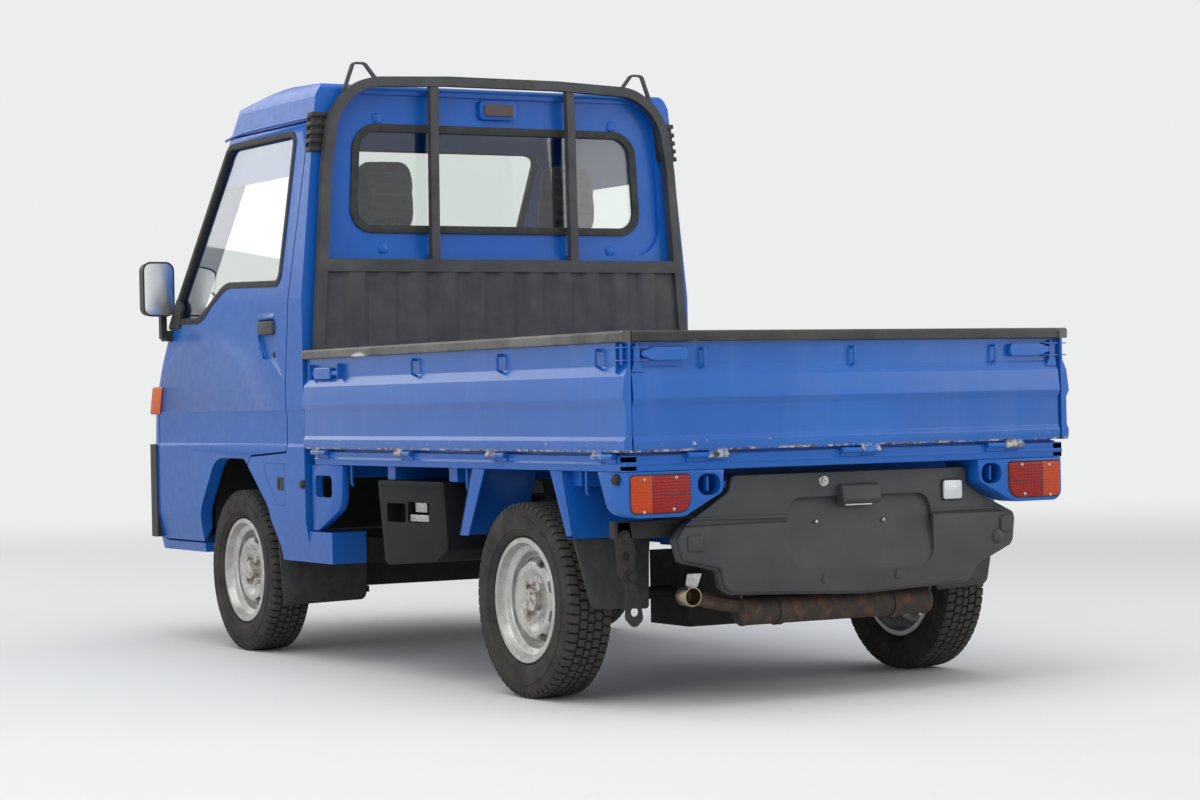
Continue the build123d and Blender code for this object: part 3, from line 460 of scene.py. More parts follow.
# How a shape drawn flat is stood up: its thickness then runs along this axis
STOOD = {
    "X": Matrix(((0, 0, 1, 0), (1, 0, 0, 0), (0, 1, 0, 0), (0, 0, 0, 1))),
    "Y": Matrix(((1, 0, 0, 0), (0, 0, 1, 0), (0, 1, 0, 0), (0, 0, 0, 1))),
    "Z": Matrix.Identity(4),
}


def slab(axis, rows, low, high, soft=1.0, steps=2, segments=6):
    """An outline given thickness from low to high along an axis, its edges softened."""
    bm = bmesh.new()
    lifted(bm, rounded_face(bm, list(rows), segments), high - low)
    if soft:
        edges = [e for e in bm.edges if e.is_manifold and e.calc_face_angle(0) > 0.5]
        bmesh.ops.bevel(bm, geom=edges, offset=soft, segments=steps, profile=0.5, affect="EDGES", material=-1)
    bmesh.ops.translate(bm, verts=bm.verts, vec=(0, 0, low))
    bmesh.ops.transform(bm, matrix=STOOD[axis], verts=bm.verts)
    return bm


def block(low, high, soft=1.0, steps=2):
    """A box between two corners, its edges softened."""
    (x0, y0, z0), (x1, y1, z1) = low, high
    rows = [(x0, y0, 0), (x1, y0, 0), (x1, y1, 0), (x0, y1, 0)]
    return slab("Z", rows, z0, z1, soft, steps)


def oblong_rows(middle, size, radius):
    """The outline of a rounded rectangle about a middle point."""
    (a, b), (wide, tall) = middle, size
    return [(a - wide / 2, b - tall / 2, radius), (a + wide / 2, b - tall / 2, radius),
            (a + wide / 2, b + tall / 2, radius), (a - wide / 2, b + tall / 2, radius)]


def oblong(axis, middle, size, low, high, radius, soft=1.0):
    """A rounded rectangle with thickness along an axis."""
    return slab(axis, oblong_rows(middle, size, radius), low, high, soft)


def upright_for(out):
    """Which way is up on a face: along Z, or along Y where the face itself lies flat."""
    return (0, 0, 1) if abs(Vector(out).normalized().z) < 0.9 else (0, 1, 0)


def aimed(place, out):
    """A placing for a shape drawn on the XY plane, which then faces out from a point."""
    z = Vector(out).normalized()
    up = Vector(upright_for(out))
    y = (up - z * z.dot(up)).normalized()
    return Matrix.Translation(place) @ Matrix((y.cross(z), y, z)).transposed().to_4x4()


def turned(rows, place, out, steps=24):
    """A turned shape: rows of (radius, height) spun about its own Z axis, then aimed out from a place."""
    bm = bmesh.new()
    chain = [bm.verts.new((r, 0, z)) for r, z in rows]
    lines = [bm.edges.new(ends) for ends in zip(chain, chain[1:])]
    bmesh.ops.spin(bm, geom=chain + lines, cent=(0, 0, 0), axis=(0, 0, 1), angle=math.tau, steps=steps,
                   use_merge=True)
    bmesh.ops.remove_doubles(bm, verts=bm.verts, dist=0.01)
    bmesh.ops.transform(bm, matrix=aimed(place, out), verts=bm.verts)
    return bm


def pin(start, end, radius, steps=16):
    """A round bar from point to point, its rims softened."""
    run = Vector(end) - Vector(start)
    long, soft = run.length, min(0.2 * radius, 1.0)
    rows = [(0, 0), (radius - soft, 0), (radius, soft), (radius, long - soft), (radius - soft, long),
            (0, long)]
    return turned(rows, start, run, steps)


def bolt(place, out, size):
    """A hexagon-headed bolt on its washer; size is across the head's corners."""
    washer = [(0, 0), (0.78 * size, 0), (0.78 * size, 0.10 * size), (0, 0.10 * size)]
    head = [(0, 0), (size / 2, 0), (size / 2, 0.34 * size), (0.42 * size, 0.42 * size), (0, 0.42 * size)]
    return joined(turned(washer, place, out, 20), turned(head, place, out, 6))


def dome(place, out, radius, high):
    """A round-headed screw or plug."""
    rows = [(0, 0), (radius, 0), (radius, 0.3 * high), (0.86 * radius, 0.72 * high),
            (0.5 * radius, 0.94 * high),
            (0, high)]
    return turned(rows, place, out, 20)


def rod(points, radius):
    """A bent bar through points, rounded at its corners."""
    curve = bpy.data.curves.new("rod", "CURVE")
    curve.dimensions, curve.bevel_depth, curve.bevel_resolution, curve.use_fill_caps = "3D", radius, 3, True
    spline = curve.splines.new("NURBS")
    spline.points.add(len(points) - 1)
    for point, place in zip(spline.points, points):
        point.co = (*place, 1.0)
    spline.order_u, spline.use_endpoint_u, spline.resolution_u = 3, True, 6
    holder = bpy.data.objects.new("rod", curve)
    mesh = bpy.data.meshes.new_from_object(holder)
    bm = bmesh.new()
    bm.from_mesh(mesh)
    bpy.data.objects.remove(holder)
    bpy.data.curves.remove(curve)
    bpy.data.meshes.remove(mesh)
    bmesh.ops.remove_doubles(bm, verts=bm.verts, dist=0.01)
    return bm


def joined(*parts):
    """Several shapes as one."""
    bm = bmesh.new()
    for part in parts:
        bmesh.ops.recalc_face_normals(part, faces=part.faces)
        carried = bpy.data.meshes.new("carried")
        part.to_mesh(carried)
        part.free()
        bm.from_mesh(carried)
        bpy.data.meshes.remove(carried)
    return bm


def carved(body, tool, operation="DIFFERENCE"):
    """One shape cut by another, joined to it, or kept only where both are."""
    both_shapes = []
    for bm in (body, tool):
        bmesh.ops.recalc_face_normals(bm, faces=bm.faces)
        mesh = bpy.data.meshes.new("carving")
        bm.to_mesh(mesh)
        bm.free()
        made = bpy.data.objects.new("carving", mesh)
        bpy.context.scene.collection.objects.link(made)
        both_shapes.append(made)
    change = both_shapes[0].modifiers.new("carve", "BOOLEAN")
    change.operation, change.object, change.solver = operation, both_shapes[1], "EXACT"
    shape = both_shapes[0].evaluated_get(bpy.context.evaluated_depsgraph_get())
    bm = bmesh.new()
    bm.from_mesh(shape.to_mesh())
    shape.to_mesh_clear()
    for made in both_shapes:
        mesh = made.data
        bpy.data.objects.remove(made)
        bpy.data.meshes.remove(mesh)
    return bm


def mirrored(bm):
    """A shape turned over to the vehicle's other side."""
    bmesh.ops.scale(bm, verts=bm.verts, vec=(-1, 1, 1))
    bmesh.ops.reverse_faces(bm, faces=bm.faces)
    return bm


def on_side(side, bm):
    """A shape drawn for the left side, turned over when it is for the right."""
    return bm if side > 0 else mirrored(bm)


def both(rows):
    """Rows of a shape's right half, and the same rows turned over for its left half."""
    return list(rows) + [(-a, b, r) for a, b, r in reversed(rows)]


def lay(bm, place):
    """Move each point of a shape by a rule."""
    for vert in bm.verts:
        vert.co = place(vert.co)
    return bm


def seal_ring(rows, width, low, high):
    """A flat ring of rubber round an opening, before it is laid on its surface."""
    bm = bmesh.new()
    face = rounded_face(bm, list(rows), 8)
    ring = bmesh.ops.inset_region(bm, faces=face, thickness=width, use_even_offset=True,
                                  use_boundary=True)["faces"]
    bmesh.ops.delete(bm, geom=[f for f in bm.faces if f not in set(ring)], context="FACES")
    lifted(bm, bm.faces[:], high - low)
    edges = [e for e in bm.edges
             if e.is_manifold and e.calc_face_angle(0) > 1.0 and max(v.co.z for v in e.verts) > 1]
    bmesh.ops.bevel(bm, geom=edges, offset=2.0, segments=3, profile=0.5, affect="EDGES", material=-1)
    bmesh.ops.translate(bm, verts=bm.verts, vec=(0, 0, low))
    return bm


def facing_back(bm, depth):
    """A ring drawn flat, stood up to face the back at a depth."""
    return lay(bm, lambda co: Vector((co.x, depth + co.z, co.y)))


def facing_front(bm, depth):
    """A ring drawn flat, stood up to face the front at a depth."""
    return lay(bm, lambda co: Vector((co.x, depth - co.z, co.y)))


BELT_Z, SIDE_X, LEAN = 1110.0, 690.0, 0.09811


def side_face(z):
    """How far out the cab's side lies at a height: upright to the belt, then leaning in."""
    return SIDE_X - LEAN * max(z - BELT_Z, 0.0)


def on_cab_side(bm):
    """A shape drawn flat as (along, up), laid on the cab's side."""
    return lay(bm, lambda co: Vector((side_face(co.y) + co.z, co.x, co.y)))


def beside_cab(bm):
    """A shape drawn standing, with X measured out from the cab's side."""
    return lay(bm, lambda co: Vector((side_face(co.z) + co.x, co.y, co.z)))


# Window rubbers
DOOR_WINDOW = ((-440, 1151, 46), (-388, 1634, 44), (-936, 1634, 62), (-1352, 1062, 30), (-1090, 1057, 150),
               (-880, 1164, 150))
mirror_foot_rows = [(-1366, 1046, 10), (-1268, 1046, 12), (-1236, 1120, 26), (-1284, 1152, 14)]
pair("window_seal_", on_cab_side(seal_ring(DOOR_WINDOW, 20.0, -12.5, 3.5)), SEAL, "door_")
pair("mirror_foot_", on_cab_side(slab("Z", mirror_foot_rows, -10, 7, 3.0)), TRIM, "door_")
back_ring = seal_ring(both([(520, 1310, 74), (502, 1648, 84)]), 25.0, 0.0, 12.0)
piece(facing_back(back_ring, -292), "back_window_seal", SEAL)

COWL_Y, COWL_Z, HEADER_Y, HEADER_Z = -1520.0, 930.0, -935.0, 1728.0
SCREEN_SLOPE = math.atan2(HEADER_Z - COWL_Z, HEADER_Y - COWL_Y)
SCREEN_MID = Vector((0, (COWL_Y + HEADER_Y) / 2, (COWL_Z + HEADER_Z) / 2))
SCREEN_UP = Vector((0, math.cos(SCREEN_SLOPE), math.sin(SCREEN_SLOPE)))
SCREEN_OUT = Vector((0, -math.sin(SCREEN_SLOPE), math.cos(SCREEN_SLOPE)))
SCREEN_FLAT, SCREEN_BEND, SCREEN_BOW = 310.0, 280.0, 12.0


def on_screen(across, up, out):
    """A point given on the windscreen's plane, which falls back a little towards its sides."""
    bow = SCREEN_BOW * max(abs(across) - SCREEN_FLAT, 0.0) / SCREEN_BEND
    return SCREEN_MID + Vector((across, 0, 0)) + SCREEN_UP * up + SCREEN_OUT * (out - bow)


screen_ring = seal_ring(both([(598, -403, 66), (540, 413, 76)]), 26.0, -14.0, 4.0)
piece(lay(screen_ring, lambda co: on_screen(*co)), "windscreen_seal", SEAL)

# Wipers: an arm, its blade and its pivot, once for each side of the windscreen
wipers = []
for foot in (-330.0, 180.0):
    wipers.append(pin(on_screen(foot, -436, -14), on_screen(foot, -436, 12), 13))
    arm = ((0, -432, -2), (8, -420, 16), (150, -330, 14), (300, -240, 10))
    blade = ((90, -388, 8), (300, -240, 8), (420, -150, 8))
    for run, radius in ((arm, 5.0), (blade, 4.0)):
        wipers.append(rod([on_screen(foot + across, up, out) for across, up, out in run], radius))
piece(joined(*wipers), "wipers", TRIM)

# Pillar vents: a louvred plate round the cab's rear corner
vent = [block((-3, -302, 1556), (3, -272, 1676), 1.0), block((-60, -278, 1556), (3, -271, 1676), 1.0),
        block((0, -305, 1556), (9, -299, 1676), 2.0), block((-64, -277, 1556), (-54, -265, 1676), 2.0)]
for z in (1556, 1582, 1608, 1634, 1662):
    vent += [block((0, -302, z), (9, -265, z + 14), 2.0), block((-58, -277, z), (8.5, -265.5, z + 14), 2.0)]
pair("pillar_vent_", beside_cab(joined(*vent)), TRIM)

# Doors: each door's own mesh with its pull pocket reshaped, a flap handle and a lock
pull_rows = [(-612, 1052, 12), (-612, 996, 34), (-580, 928, 26), (-478, 928, 12), (-478, 1052, 12)]
for word, side in SIDES:
    skin = bmesh.new()
    skin.from_mesh(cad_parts["door_" + word].data)
    bmesh.ops.scale(skin, verts=skin.verts, vec=(side * 1000, 1000, 1000))
    if side < 0:
        bmesh.ops.reverse_faces(skin, faces=skin.faces)
    bmesh.ops.remove_doubles(skin, verts=skin.verts, dist=0.01)
    skin = carved(skin, block((668, -622, 976), (690, -468, 1084), 0), "UNION")
    skin = carved(skin, slab("X", pull_rows, 677, 720, 5.0, 3))
    piece(on_side(side, skin), "door_skin_" + word, BLUE, "door_" + word, stands_for=("door_" + word,))
handle = joined(oblong("X", (-543, 1027), (120, 42), 676, 698, 9, 5.0),
                oblong("X", (-543, 1010), (96, 10), 674, 690, 3))
pair("door_handle_", handle, LID, "door_")
lock_rows = [(0, 0), (9, 0), (9, 4), (7, 5), (3, 5), (3, 2), (0, 2)]
pair("door_lock_", turned(lock_rows, (676, -514, 942), (1, 0, 0), 20), TRIM, "door_")

# Service hatches behind the doors: the seam round each and its catch
hatch_rows = [(-582, 606, 14), (-582, 578, 20), (-492, 474, 24), (-424, 474, 6), (-424, 606, 6)]
pair("service_hatch_seam_", on_cab_side(seal_ring(hatch_rows, 3.5, -3.0, 0.4)), TRIM)
catch = joined(oblong("X", (-460, 542), (46, 42), 687, 691.5, 5, 1.5),
               oblong("X", (-474, 542), (12, 30), 690, 693.5, 3))
pair("hatch_catch_", catch, TRIM)

# Mirrors: the silvered glass in its thin rim
rim = seal_ring([(686, 1090, 30), (798, 1090, 30.1), (798, 1274, 30.2), (686, 1274, 30.3)], 6.0, 0.0, 5.0)
pair("mirror_rim_", facing_back(rim, -1325), TRIM, "door_")
pair("mirror_glass_", oblong("Y", (742, 1182), (102, 174), -1324, -1321.5, 26, 1.0), MIRROR, "door_")

# Back panel: pressed bosses at its corners and the lamp above the window
bosses = [dome((side * x, -287.5, z), (0, 1, 0), 17, 7)
          for side in (1, -1) for x, z in ((418, 1664), (406, 1262))]
piece(joined(*bosses), "back_panel_bosses", BLUE)
piece(oblong("Y", (0, 1701), (132, 62), -288, -270, 16, 4.0), "high_mount_lamp", BLUE)
piece(oblong("Y", (0, 1701), (104, 38), -272, -264, 8, 2.0), "high_mount_lens", SMOKED)

# Rack and headboard: the frame is the solid's own mesh leant in, and the board is a ribbed sheet
RACK_FOOT, LOOP_FOOT, LOOP_X = 656, 1800, 440


def leaned(co):
    """A place on the rack, leant in towards the rack's top, with the rope loops lowered."""
    loop = co.z > LOOP_FOOT and abs(co.x) > LOOP_X
    high = LOOP_FOOT + (co.z - LOOP_FOOT) * 0.6 if loop else co.z
    return Vector((co.x * (1.010 - 0.000036 * (co.z - RACK_FOOT)), co.y, high))


rack = bmesh.new()
rack.from_mesh(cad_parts["rack"].data)
bmesh.ops.scale(rack, verts=rack.verts, vec=(1000, 1000, 1000))
piece(lay(rack, leaned), "rack_frame", RACK, stands_for=("rack",))
board_low, board_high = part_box("headboard")
board_half = board_high[0] * 1000
ribs = [(-board_half, -254, 0), (board_half, -254, 0), (board_half, -244, 0)]
for place in range(5, -6, -1):
    for across, y in ((40, -244), (20, -234), (-20, -234), (-40, -244)):
        ribs.append((place * 104 + across, y, 10))
ribs.append((-board_half, -244, 0))
board = slab("Z", ribs, board_low[2] * 1000, board_high[2] * 1000, 0.0)
piece(lay(board, leaned), "headboard_sheet", RACK, stands_for=("headboard",))

# Roof gutters above the doors
gutter = [(side_face(z) + 1.5, y, z)
          for y, z in ((-292, 1662), (-500, 1663), (-700, 1663), (-880, 1661), (-962, 1648))]
pair("roof_gutter_", rod(gutter, 4.5), BLUE)

# Drop sides and tailgate: rows of (depth from the outside, up, radius), pressed in one sheet
HALF, REAR_END, TAIL = 697.5, 1647.5, 665.5
GATE_ROWS = ((26, 651, 0), (7, 651, 2), (4, 658, 3), (3, 668, 5), (3, 679, 5), (9, 690, 4), (9, 765, 3),
             (0, 781, 1), (0, 785, 1), (7, 838, 3), (20, 864, 4), (20, 922, 0), (26, 922, 0))
SIDE_HINGES, TAIL_HINGES = (-166.0, 404.0, 966.0, 1534.0), (450.0, -15.0, -483.0)
SIDE_HOOKS, TAIL_HOOKS = (478.0, 990.0, 1510.0), (455.0, 0.0, -455.0)
HINGE_X, HINGE_Y, HINGE_Z, HINGE_R = 689.5, 1640.0, 640.0, 7.5


def rope_hook(point, inner):
    """A hook of bent bar; point turns a depth from the outside and a height into a place."""
    hook = [point(5, 866), point(5, 900), point(5, 906), point(inner, 904)]
    return [rod(hook, 4.2), rod([point(5, 868), point(5, 864), point(inner, 860)], 4.0)]


parts = [slab("Y", [(HALF - d, z, r) for d, z, r in GATE_ROWS], -268, 1645.5, 0.0)]
for y in SIDE_HINGES:
    parts.append(pin((HINGE_X, y - 51.5, HINGE_Z), (HINGE_X, y - 0.5, HINGE_Z), HINGE_R))
    parts.append(block((HINGE_X - 3, y - 50, 640), (HINGE_X + 3, y - 2, 655), 0.8))
for y in SIDE_HOOKS:
    parts += rope_hook(lambda depth, z: (HALF - depth, y, z), 20)
for y in (-216, -15):
    parts.append(block((HALF - 20, y - 2, 859), (HALF - 2, y + 2, 905), 0.8))
parts.append(oblong("X", (-132, 877), (118, 34), HALF - 20, HALF - 5, 8, 3.0))
parts.append(block((HALF - 20, -214, 871), (HALF - 9, -180, 883), 1.5))
parts.append(block((HALF - 20, -80, 871), (HALF - 9, -17, 883), 1.5))
end_rows = [(1603, 846, 0), (1609, 846, 0), (1609, 921, 0), (1603, 921, 0)]
parts.append(slab("X", end_rows, HALF - 21, HALF - 5, 0.8))
for z in (877, 909):
    parts.append(block((HALF - 21, 1608, z - 1.5), (HALF - 5, 1644, z + 1.5), 0.5))
parts.append(pin((HALF - 12, 1627, 866), (HALF - 12, 1627, 918), 5.0))
pair("side_gate_panel_", joined(*parts), GATE_BLUE, "side_gate_", stands_for="gate_", crease=0.35)

# Tailgate, with its hooks and its two corner latches
parts = [slab("X", [(REAR_END - d, z, r) for d, z, r in GATE_ROWS], -TAIL, TAIL, 0.0)]
for x in TAIL_HINGES:
    parts.append(pin((x - 59.5, HINGE_Y, HINGE_Z), (x - 0.5, HINGE_Y, HINGE_Z), HINGE_R))
    parts.append(block((x - 58, HINGE_Y - 3, 640), (x - 2, HINGE_Y + 3, 655), 0.8))
for x in TAIL_HOOKS:
    parts += rope_hook(lambda depth, z: (x, REAR_END - depth, z), 20.5)
latch_rows = [(504, 876, 10), (504, 909, 12), (600, 909, 6), (636, 899, 4), (636, 887, 4), (600, 876, 6)]
keeper_rows = [(640, 909, 0), (658, 909, 0), (658, 872, 0), (664, 848, 0), (628, 848, 0), (640, 872, 0)]
for word, side in SIDES:
    latch = [slab("Y", latch_rows, 1627, 1643.5, 2.5), slab("Y", keeper_rows, 1627, 1638.5, 0.8)]
    latch += [block((620, 1626.5, z - 1.5), (664, 1644, z + 1.5), 0.5) for z in (877, 909)]
    parts.append(on_side(side, joined(*latch, pin((648, 1634, 866), (648, 1634, 918), 5.0))))
piece(joined(*parts), "tailgate_panel", GATE_BLUE, "rear_gate", stands_for=("tailgate",), crease=0.35)

# Deck: ribbed floor, edge rails with their swage, rear sill, cross channels, hinge halves and rope rods
RAIL_X, REAR_FACE, DECK_FRONT = 680.0, 1631.0, -264.0


def swaged(outer, inner):
    """The section of a rail whose outer face has a small ridge along its middle."""
    return [(inner, 603, 0), (outer, 603, 3), (outer, 616, 0), (outer + 3, 621, 0), (outer, 627, 0),
            (outer, 643, 3), (inner, 643, 0)]


parts = [block((-659.5, DECK_FRONT, 635), (659.5, 1611, 652), 0.8),
         slab("X", swaged(REAR_FACE, REAR_FACE - 30), -RAIL_X, RAIL_X, 0.0)]
for rib in range(-4, 5):
    parts.append(block((130 * rib - 32, DECK_FRONT + 40, 650), (130 * rib + 32, 1571, 656), 3.0))
for y in (-150, 250, 640, 1330):
    parts.append(block((-651.5, y - 25, 563), (651.5, y + 25, 637), 2.0))
for word, side in SIDES:
    run = [slab("Y", swaged(RAIL_X, 651.5), -218, REAR_FACE, 0.0)]
    for y in SIDE_HINGES:
        run.append(pin((HINGE_X, y + 0.5, HINGE_Z), (HINGE_X, y + 51.5, HINGE_Z), HINGE_R))
        run.append(block((HINGE_X - 14, y + 1, 638), (HINGE_X, y + 51, 642), 0.6))
        run.append(block((RAIL_X - 2, y + 1, 624), (RAIL_X + 4, y + 51, 641), 0.8))
    for y in (21, 761, 1415):
        run.append(rod([(670, y, 606), (670, y, 560), (670, y, 546), (664, y, 544)], 4.2))
    parts.append(on_side(side, joined(*run)))
for x in TAIL_HINGES:
    parts.append(pin((x + 0.5, HINGE_Y, HINGE_Z), (x + 59.5, HINGE_Y, HINGE_Z), HINGE_R))
    parts.append(block((x + 1, HINGE_Y - 12, 638), (x + 59, HINGE_Y, 642), 0.6))
    parts.append(block((x + 1, REAR_FACE - 2, 624), (x + 59, REAR_FACE + 4, 641), 0.8))
piece(joined(*parts), "deck_pressing", BLUE, stands_for=("deck",), crease=0.35)

# Lamp housings: pressed boxes under the sill with a tow hook's opening beside each lamp
UNDER_DECK = 602.7
housing_rows = [(678, UNDER_DECK, 0), (678, 488, 30), (515, 488, 40), (401, 546, 14), (397, UNDER_DECK, 0)]
housing_side = [(1484, UNDER_DECK, 0), (1534, 500, 60), (1572, 487, 30), (1636, 487, 0),
                (1636, UNDER_DECK, 0)]
recess_rows = [(672, 595, 10), (672, 498, 17), (497, 498, 35), (497, 595, 10)]
lens_rows = [(670, 593, 9), (670, 500, 16), (499, 500, 34), (499, 593, 9)]
gasket_rows = [(673, 596, 11), (673, 497, 18), (496, 497, 36), (496, 596, 11.1)]
box = carved(slab("Y", housing_rows, 1471, 1631, 3.0), slab("X", housing_side, 380, 700, 0.0), "INTERSECT")
box = carved(box, slab("Y", recess_rows, 1617, 1640, 0.0))
box = carved(box, oblong("Y", (442, 566), (66, 54), 1581, 1640, 24, 0.0))
tongue = block((440, 1583, 548), (446, 1625, 586), 2.0)
pair("lamp_housing_", joined(box, tongue), BLUE, stands_for="lamp_housings", crease=0.4)
pair("tail_lamp_", slab("Y", lens_rows, 1617.3, 1635.5, 3.0, 3), LENS, stands_for="tail_lamps")
screws = [dome((x, 1635.2, z), (0, 1, 0), 4.5, 2.4)
          for x, z in ((633, 583), (541, 586), (549, 508), (635, 503))]
pair("tail_lamp_screws_", joined(*screws), ZINC)
joint = joined(block((607.5, 1634, 502), (610.5, 1636.2, 591), 0.4),
               block((501, 1634, 543), (608, 1636, 545), 0.4))
pair("tail_lamp_joint_", joint, TRIM)
pair("tail_lamp_gasket_", facing_back(seal_ring(gasket_rows, 4.0, 0.0, 3.0), 1629.5), SEAL)
stops = [dome((679.5, 1582, 584), (1, 0, 0), 15, 14), dome((690, -286, 543), (1, 0, 0), 14, 12)]
pair("rubber_stops_", joined(*stops), SEAL)

# Gussets behind the cab, and the guards of each rear wheel: a strip, the plate behind it and its reach inward
gusset_rows = [(-250, UNDER_DECK, 0), (-30, UNDER_DECK, 0), (-36, 478, 60), (-205, 405, 16), (-250, 405, 0)]
guards = (([(797, UNDER_DECK, 0), (872, UNDER_DECK, 0), (771, 420, 0), (718, 420, 0)],
           [(797, UNDER_DECK, 0), (804, UNDER_DECK, 0), (725, 420, 0), (718, 420, 0)], 200.0),
          ([(1234, UNDER_DECK, 0), (1303, UNDER_DECK, 0), (1356, 430, 0), (1318, 430, 0)],
           [(1296, UNDER_DECK, 0), (1303, UNDER_DECK, 0), (1356, 430, 0), (1318, 430, 0), (1318, 437, 0),
            (1346, 437, 0)], 240.0))
window = oblong("X", (-164, 538), (118, 66), 640, 690, 14, 0.0)
parts = [carved(slab("X", gusset_rows, 654, 678, 3.0), window)]
for strip, plate, reach in guards:
    parts.append(slab("X", strip, 670, 676, 1.5))
    parts.append(slab("X", plate, 676 - reach, 676, 0.8))
for x, z in ((632, 452), (562, 450), (500, 450)):
    parts.append(dome((x, 1347 + (z - 437) * -0.28, z), (0, 0.96, 0.28), 6, 4))
pair("deck_guards_", joined(*parts), BLUE, stands_for="deck_brackets", crease=0.4)


def hanging(co):
    """A place on a mud flap, which hangs in a soft wave below its bolts."""
    wave = 10.0 * math.sin((co.z - 160) / 90.0) if co.z < 400 else 0.0
    return co + Vector((0, wave, 0))


flap_front = slab("Y", [(678, 387, 0), (660, 160, 20), (378, 166, 20), (372, 387, 0)], -524, -519, 1.2)
flap_rear = slab("Y", [(674, 429, 0), (630, 250, 25), (460, 242, 10), (450, 429, 0)], 1343, 1349, 1.2)
pair("mud_flap_pair_", lay(joined(flap_front, flap_rear), hanging), FLAP, stands_for="mud_flaps")

# Fuel tank's moulded cover, with its two windows and the latch behind one of them
cover_rows = [(184, 562.7, 10), (606, 562.7, 10), (628, 376, 16), (560, 340, 60), (228, 318, 25)]
cover = slab("X", cover_rows, 420, 666, 5.0, 3)
for y, z, long, high in ((307, 471, 121, 54), (450, 475, 134, 58)):
    cover = carved(cover, oblong("X", (y, z), (long, high), 622, 680, 8, 0.0))
lip = slab("X", [(196, 554, 6), (594, 554, 6), (594, 546, 2), (196, 546, 2)], 664, 668, 1.5)
piece(joined(cover, lip), "tank_cover", COVER, stands_for=("fuel_tank",), crease=0.5)
latch = joined(oblong("X", (454, 489), (72, 28), 640, 660, 3, 2.0),
               oblong("X", (450, 458), (118, 20), 636, 664, 4, 3.0))
piece(latch, "tank_cover_latch", ZINC)

# Hanging plate behind the left rear wheel
hanger_rows = [(668, 478, 0), (624, 478, 0), (606, 396, 20), (616, 330, 12), (598, 296, 12), (588, 232, 16),
               (614, 208, 16), (640, 236, 12), (636, 316, 16), (658, 352, 20)]
plate = slab("Y", hanger_rows, 1538, 1544, 1.0)
for x, z in ((634, 392), (613, 252)):
    plate = carved(plate, pin((x, 1530, z), (x, 1552, z), 12))
outrigger = block((350, 1504, 434), (660, 1544, 478), 3.0)
nuts = [bolt((x, 1544, z), (0, 1, 0), 22) for x, z in ((640, 440), (622, 340))]
piece(joined(plate, outrigger, *nuts), "rear_hanger", CHASSIS, crease=0.4)

# Exhaust: a rolled muffler with its end seams and straps, and a bright tip
MUFFLER_Y, MUFFLER_Z = 1525, 235


def drum(rows, start):
    """A turned shape on the muffler's axis, a little taller than it is deep."""
    shape = turned(rows, (start, MUFFLER_Y, MUFFLER_Z), (1, 0, 0), 32)
    return lay(shape, lambda co: Vector((co.x, co.y, MUFFLER_Z + (co.z - MUFFLER_Z) * 1.02)))


muffler_rows = [(0, 0), (20, 0), (33, 4), (38, 12), (38, 16), (36.5, 18), (36.5, 582), (38, 584), (38, 588),
                (33, 596), (20, 600), (0, 600)]
parts = [drum(muffler_rows, -300)]
for side in (1, -1):
    parts.append(block((side * 296 - 4, MUFFLER_Y - 18, MUFFLER_Z), (side * 296 + 4, MUFFLER_Y + 18, 429),
                       1.5))
    parts.append(drum([(37, 0), (40, 0), (40, 18), (37, 18), (37, 0)], side * 180 - 9))
pipe = [(296, 1528, 250), (370, 1530, 262), (440, 1540, 282), (478, 1556, 286), (480, 1566, 286)]
parts.append(rod(pipe, 20))
piece(joined(*parts), "exhaust_muffler", RUSTY, stands_for=("exhaust",), crease=0.5)
tip_rows = [(20, 0), (24, 0), (25, 4), (25, 44), (24.2, 46), (22, 46), (21.5, 44), (21.5, 6), (20, 0)]
piece(turned(tip_rows, (480, 1560, 286), (0, 1, 0), 32), "exhaust_tip", TIP)
strap = slab("Y", [(452, 308, 3), (486, 312, 3), (481, 342, 3), (438, 342, 3)], 1578, 1582, 0.8)
piece(strap, "exhaust_hanger_strap", ZINC)

# Engine lid: one moulding with a stepped lower half and a slanting pocket
POCKET_TOP = 522
lid_rows = [(351, 585, 12), (361, 544, 14), (505, 457, 14), (526, 430, 12), (509, 371, 16), (399, 346, 14),
            (391, 302, 12), (363, 284, 30), (-44, 266, 0), (-388, 279, 30), (-416, 323, 20), (-537, 375, 20),
            (-545, 459, 14), (-440, 508, 14), (-386, 538, 12), (-386, 585, 12.1)]
swell_rows = [(500, 462, 8), (520, 430, 12), (503, 376, 14), (393, 351, 12), (385, 306, 12),
              (359, 289, 26), (-44, 271, 0), (-384, 284, 28), (-411, 328, 18), (-531, 380, 18),
              (-539, 452, 12), (-500, 466, 8)]
pocket_rows = [(188, POCKET_TOP, 42), (188, 344, 46), (-40, 330, 0), (-266, 336, 46), (-266, POCKET_TOP, 42)]


def slanted(co):
    """A place on the pocket's floor, which comes out towards its foot; its mouth stays where it is."""
    out = 28.0 * (POCKET_TOP - co.z) / 190.0 if co.y < 1600 else 0.0
    return Vector((co.x, co.y + out, co.z))


